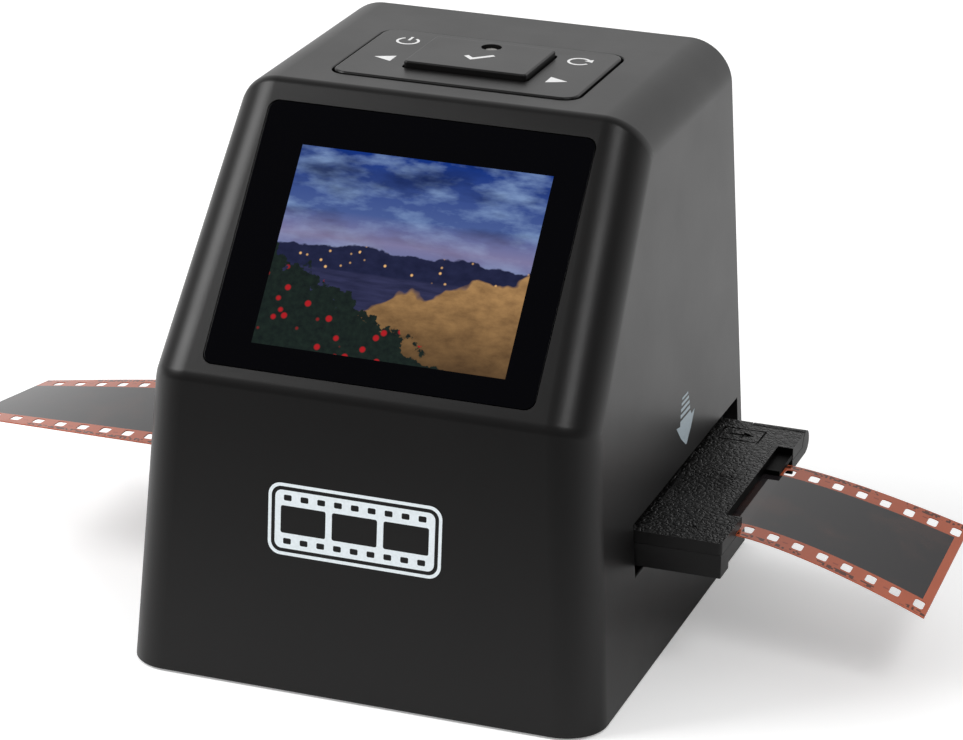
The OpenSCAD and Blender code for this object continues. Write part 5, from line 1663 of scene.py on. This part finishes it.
# %% Tongue and contacts
CABLE_SOCKET = (-17.0, 75.6)
CARD_SOCKET = (12.0, 75.6)
TONGUE_LOW = (-2.4, 38.0, 1.9)
TONGUE_HIGH = (2.4, 45.2, 2.6)
SPRING_TIP = 0.35
dark_nylon = moulded("socket_nylon", rgb(22, 22, 24), 0.5, 0.3, 0.01, 1.45, 0.02)


def in_socket(socket, place):
    """A place in the frame from a socket's middle and foot, and a place in that socket."""
    return socket[0] + place[0], place[1], socket[1] + place[2]


def contact_row(name, place, count, pitch, width, length, thick):
    """A row of flat springs with a bent tip, one beside the other."""
    x, y, z = place
    spring = block(name, place, (x + width, y + length, z + thick))
    choose(spring, "FACE", lambda middle, normal: normal.y > 0.9)
    extrude(0, SPRING_TIP, -thick)
    leave()
    repeat(spring, count, pitch)
    smooth(spring)
    finished(spring, "body", "brass", gold)


tongue = block("cable_socket_tongue", in_socket(CABLE_SOCKET, TONGUE_LOW),
               in_socket(CABLE_SOCKET, TONGUE_HIGH))
round_edges(tongue, 0.15, 2, both(lambda p: p.y > TONGUE_HIGH[1] - 0.1))
smooth(tongue)
finished(tongue, "body", "chip", dark_nylon)
contact_row("cable_contacts", in_socket(CABLE_SOCKET, (-1.9, 39.5, 1.75)), count=5, pitch=0.85,
            width=0.4, length=4.9, thick=0.15)
contact_row("card_contacts", in_socket(CARD_SOCKET, (-10.9, 40.0, 2.35)), count=9, pitch=2.5,
            width=1.3, length=4.2, thick=0.2)

# %% [markdown]
# ### The guide and the pieces inside
# The tray runs in a guide that can be seen through the slots. The pieces behind it keep the
# imported solids' shapes. Each still gets a finish of its own, because other renders look into
# the housing.

# %% Guide
GUIDE_EDGE = 0.15
GUIDE_END = 40.7
softened("tray_guide_channel", "tray_guide", "inner_plastic", inner_finish, GUIDE_EDGE,
         both(lambda p: abs(p.x) > GUIDE_END))

# %% Circuit boards, ribbons, pale plastic and glass
BOARD_LACQUER = (rgb(14, 74, 46), rgb(22, 96, 58))
BOARD_TRACK = rgb(46, 128, 80)
BOARD_PAD = rgb(196, 190, 170)
TRACK_SIZE = 3.0
PAD_PITCH = 2.6
RIBBON_FILM = (rgb(176, 104, 34), rgb(198, 124, 44))
RIBBON_TRACK = rgb(138, 74, 30)
RIBBON_PITCH = 3.4
LENS_GLASS = (rgb(206, 214, 226), rgb(226, 230, 238))


def board_finish():
    """Green lacquer over copper tracks, with tinned pads."""
    material, shader = fresh("circuit_board", IOR=1.5)
    at = where()
    bricks = put("ShaderNodeTexBrick", {
        "Vector": at, "Scale": 1 / (TRACK_SIZE * MM), "Mortar Size": 0.035, "Mortar Smooth": 0.1,
        "Brick Width": 0.9, "Row Height": 0.42, "Color1": BLACK, "Color2": BLACK,
        "Mortar": WHITE}, "Color")
    tracks = put("ShaderNodeSeparateColor", {"Color": bricks}, "Red")
    pads = spread(cells(at, PAD_PITCH), 0.13, 0.16, 1, 0)
    lacquer = mixed(grain(at, 5, 3), *BOARD_LACQUER)
    dress(shader, Base_Color=mixed(pads, mixed(tracks, lacquer, BOARD_TRACK), BOARD_PAD),
          Metallic=pads * 0.9, Roughness=spread(pads, 0, 1, 0.3, 0.38))
    relief(shader, tracks + pads, 0.03, 0.6)
    return material


def ribbon_finish():
    """Amber film with fine copper tracks inside it."""
    material, shader = fresh("amber_ribbon", IOR=1.5, Roughness=0.3)
    at = where()
    waves = put("ShaderNodeTexWave", {"Vector": at, "Scale": 1 / (RIBBON_PITCH * MM), "Distortion": 0.0},
                "Fac", wave_type="BANDS", bands_direction="X")
    track = spread(waves, 0.45, 0.6)
    dress(shader, Base_Color=mixed(track, mixed(grain(at, 8, 3), *RIBBON_FILM), RIBBON_TRACK))
    relief(shader, track, 0.02, 0.5)
    return material


def pale_plastic(name, colour, roughness, glow=0.0):
    """White or clear plastic, cloudy inside; a lamp's part may glow a little."""
    material, shader = fresh(name, IOR=1.49, Roughness=roughness)
    at = where()
    cloud = spread(grain(at, 3, 3), *CLOUDY)
    dress(shader, Base_Color=mixed(cloud, duller(colour, 0.88), colour))
    relief(shader, grain(at, 0.3, 2), 0.008, 0.5)
    if glow:
        dress(shader, Emission_Color=colour, Emission_Strength=glow)
    return material


def glass_finish():
    """Coated lens glass, with the violet that a coating reflects."""
    material, shader = fresh("coated_lens", IOR=1.52, Roughness=0.03, Transmission_Weight=0.85,
                             Coat_Weight=0.6, Coat_Roughness=0.02, Coat_Tint=(0.78, 0.7, 1, 1))
    dress(shader, Base_Color=mixed(grain(where(), 1.2), *LENS_GLASS))
    return material


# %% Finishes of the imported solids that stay
KEPT = [
    (inner_finish, ["lcd_frame", "key_rocker", "key_frame", "light_tunnel", "lens_holder"]),
    (pale_plastic("white_plastic", rgb(226, 226, 222), 0.45), ["backlight_housing"]),
    (pale_plastic("milky_diffuser", rgb(236, 236, 232), 0.55, 0.05), ["diffuser_panel"]),
    (pale_plastic("lamp_resin", rgb(232, 214, 120), 0.35), ["backlight_leds", "status_led"]),
    (moulded("display_glass", rgb(16, 20, 34), 0.2, 2.0, 0.001, 1.5, 0.02), ["lcd_panel"]),
    (ribbon_finish(), ["lcd_flex", "key_flex", "camera_flex", "led_flex"]),
    (board_finish(), ["key_board", "main_board", "camera_board", "led_board"]),
    (moulded("chip_resin", rgb(30, 30, 32), 0.55, 0.18, 0.015, 1.5, 0.03),
     ["processor", "memory_chips", "image_sensor"]),
    (moulded("anodised_black", rgb(24, 24, 26), 0.42, 0.12, 0.01, 1.5, 0.03), ["lens_barrel"]),
    (glass_finish(), ["lens_glass"]),
    (brass, ["board_standoffs"]),
    (tin, ["tact_switches"]),
    (steel, ["tray_hinge_pin", "key_screws", "key_board_screws", "board_screws", "guide_screws",
             "tunnel_screws", "camera_screws"]),
]
for finish, names in KEPT:
    for name in names:
        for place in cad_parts[name].material_slots:
            place.material = finish
print("packed solids with a finish of their own:", sum(len(names) for _, names in KEPT))

# %% [markdown]
# ## Colours as written
# The Standard view shows each colour as it was written.

# %% Finish the file
bpy.context.scene.view_settings.view_transform = "Standard"
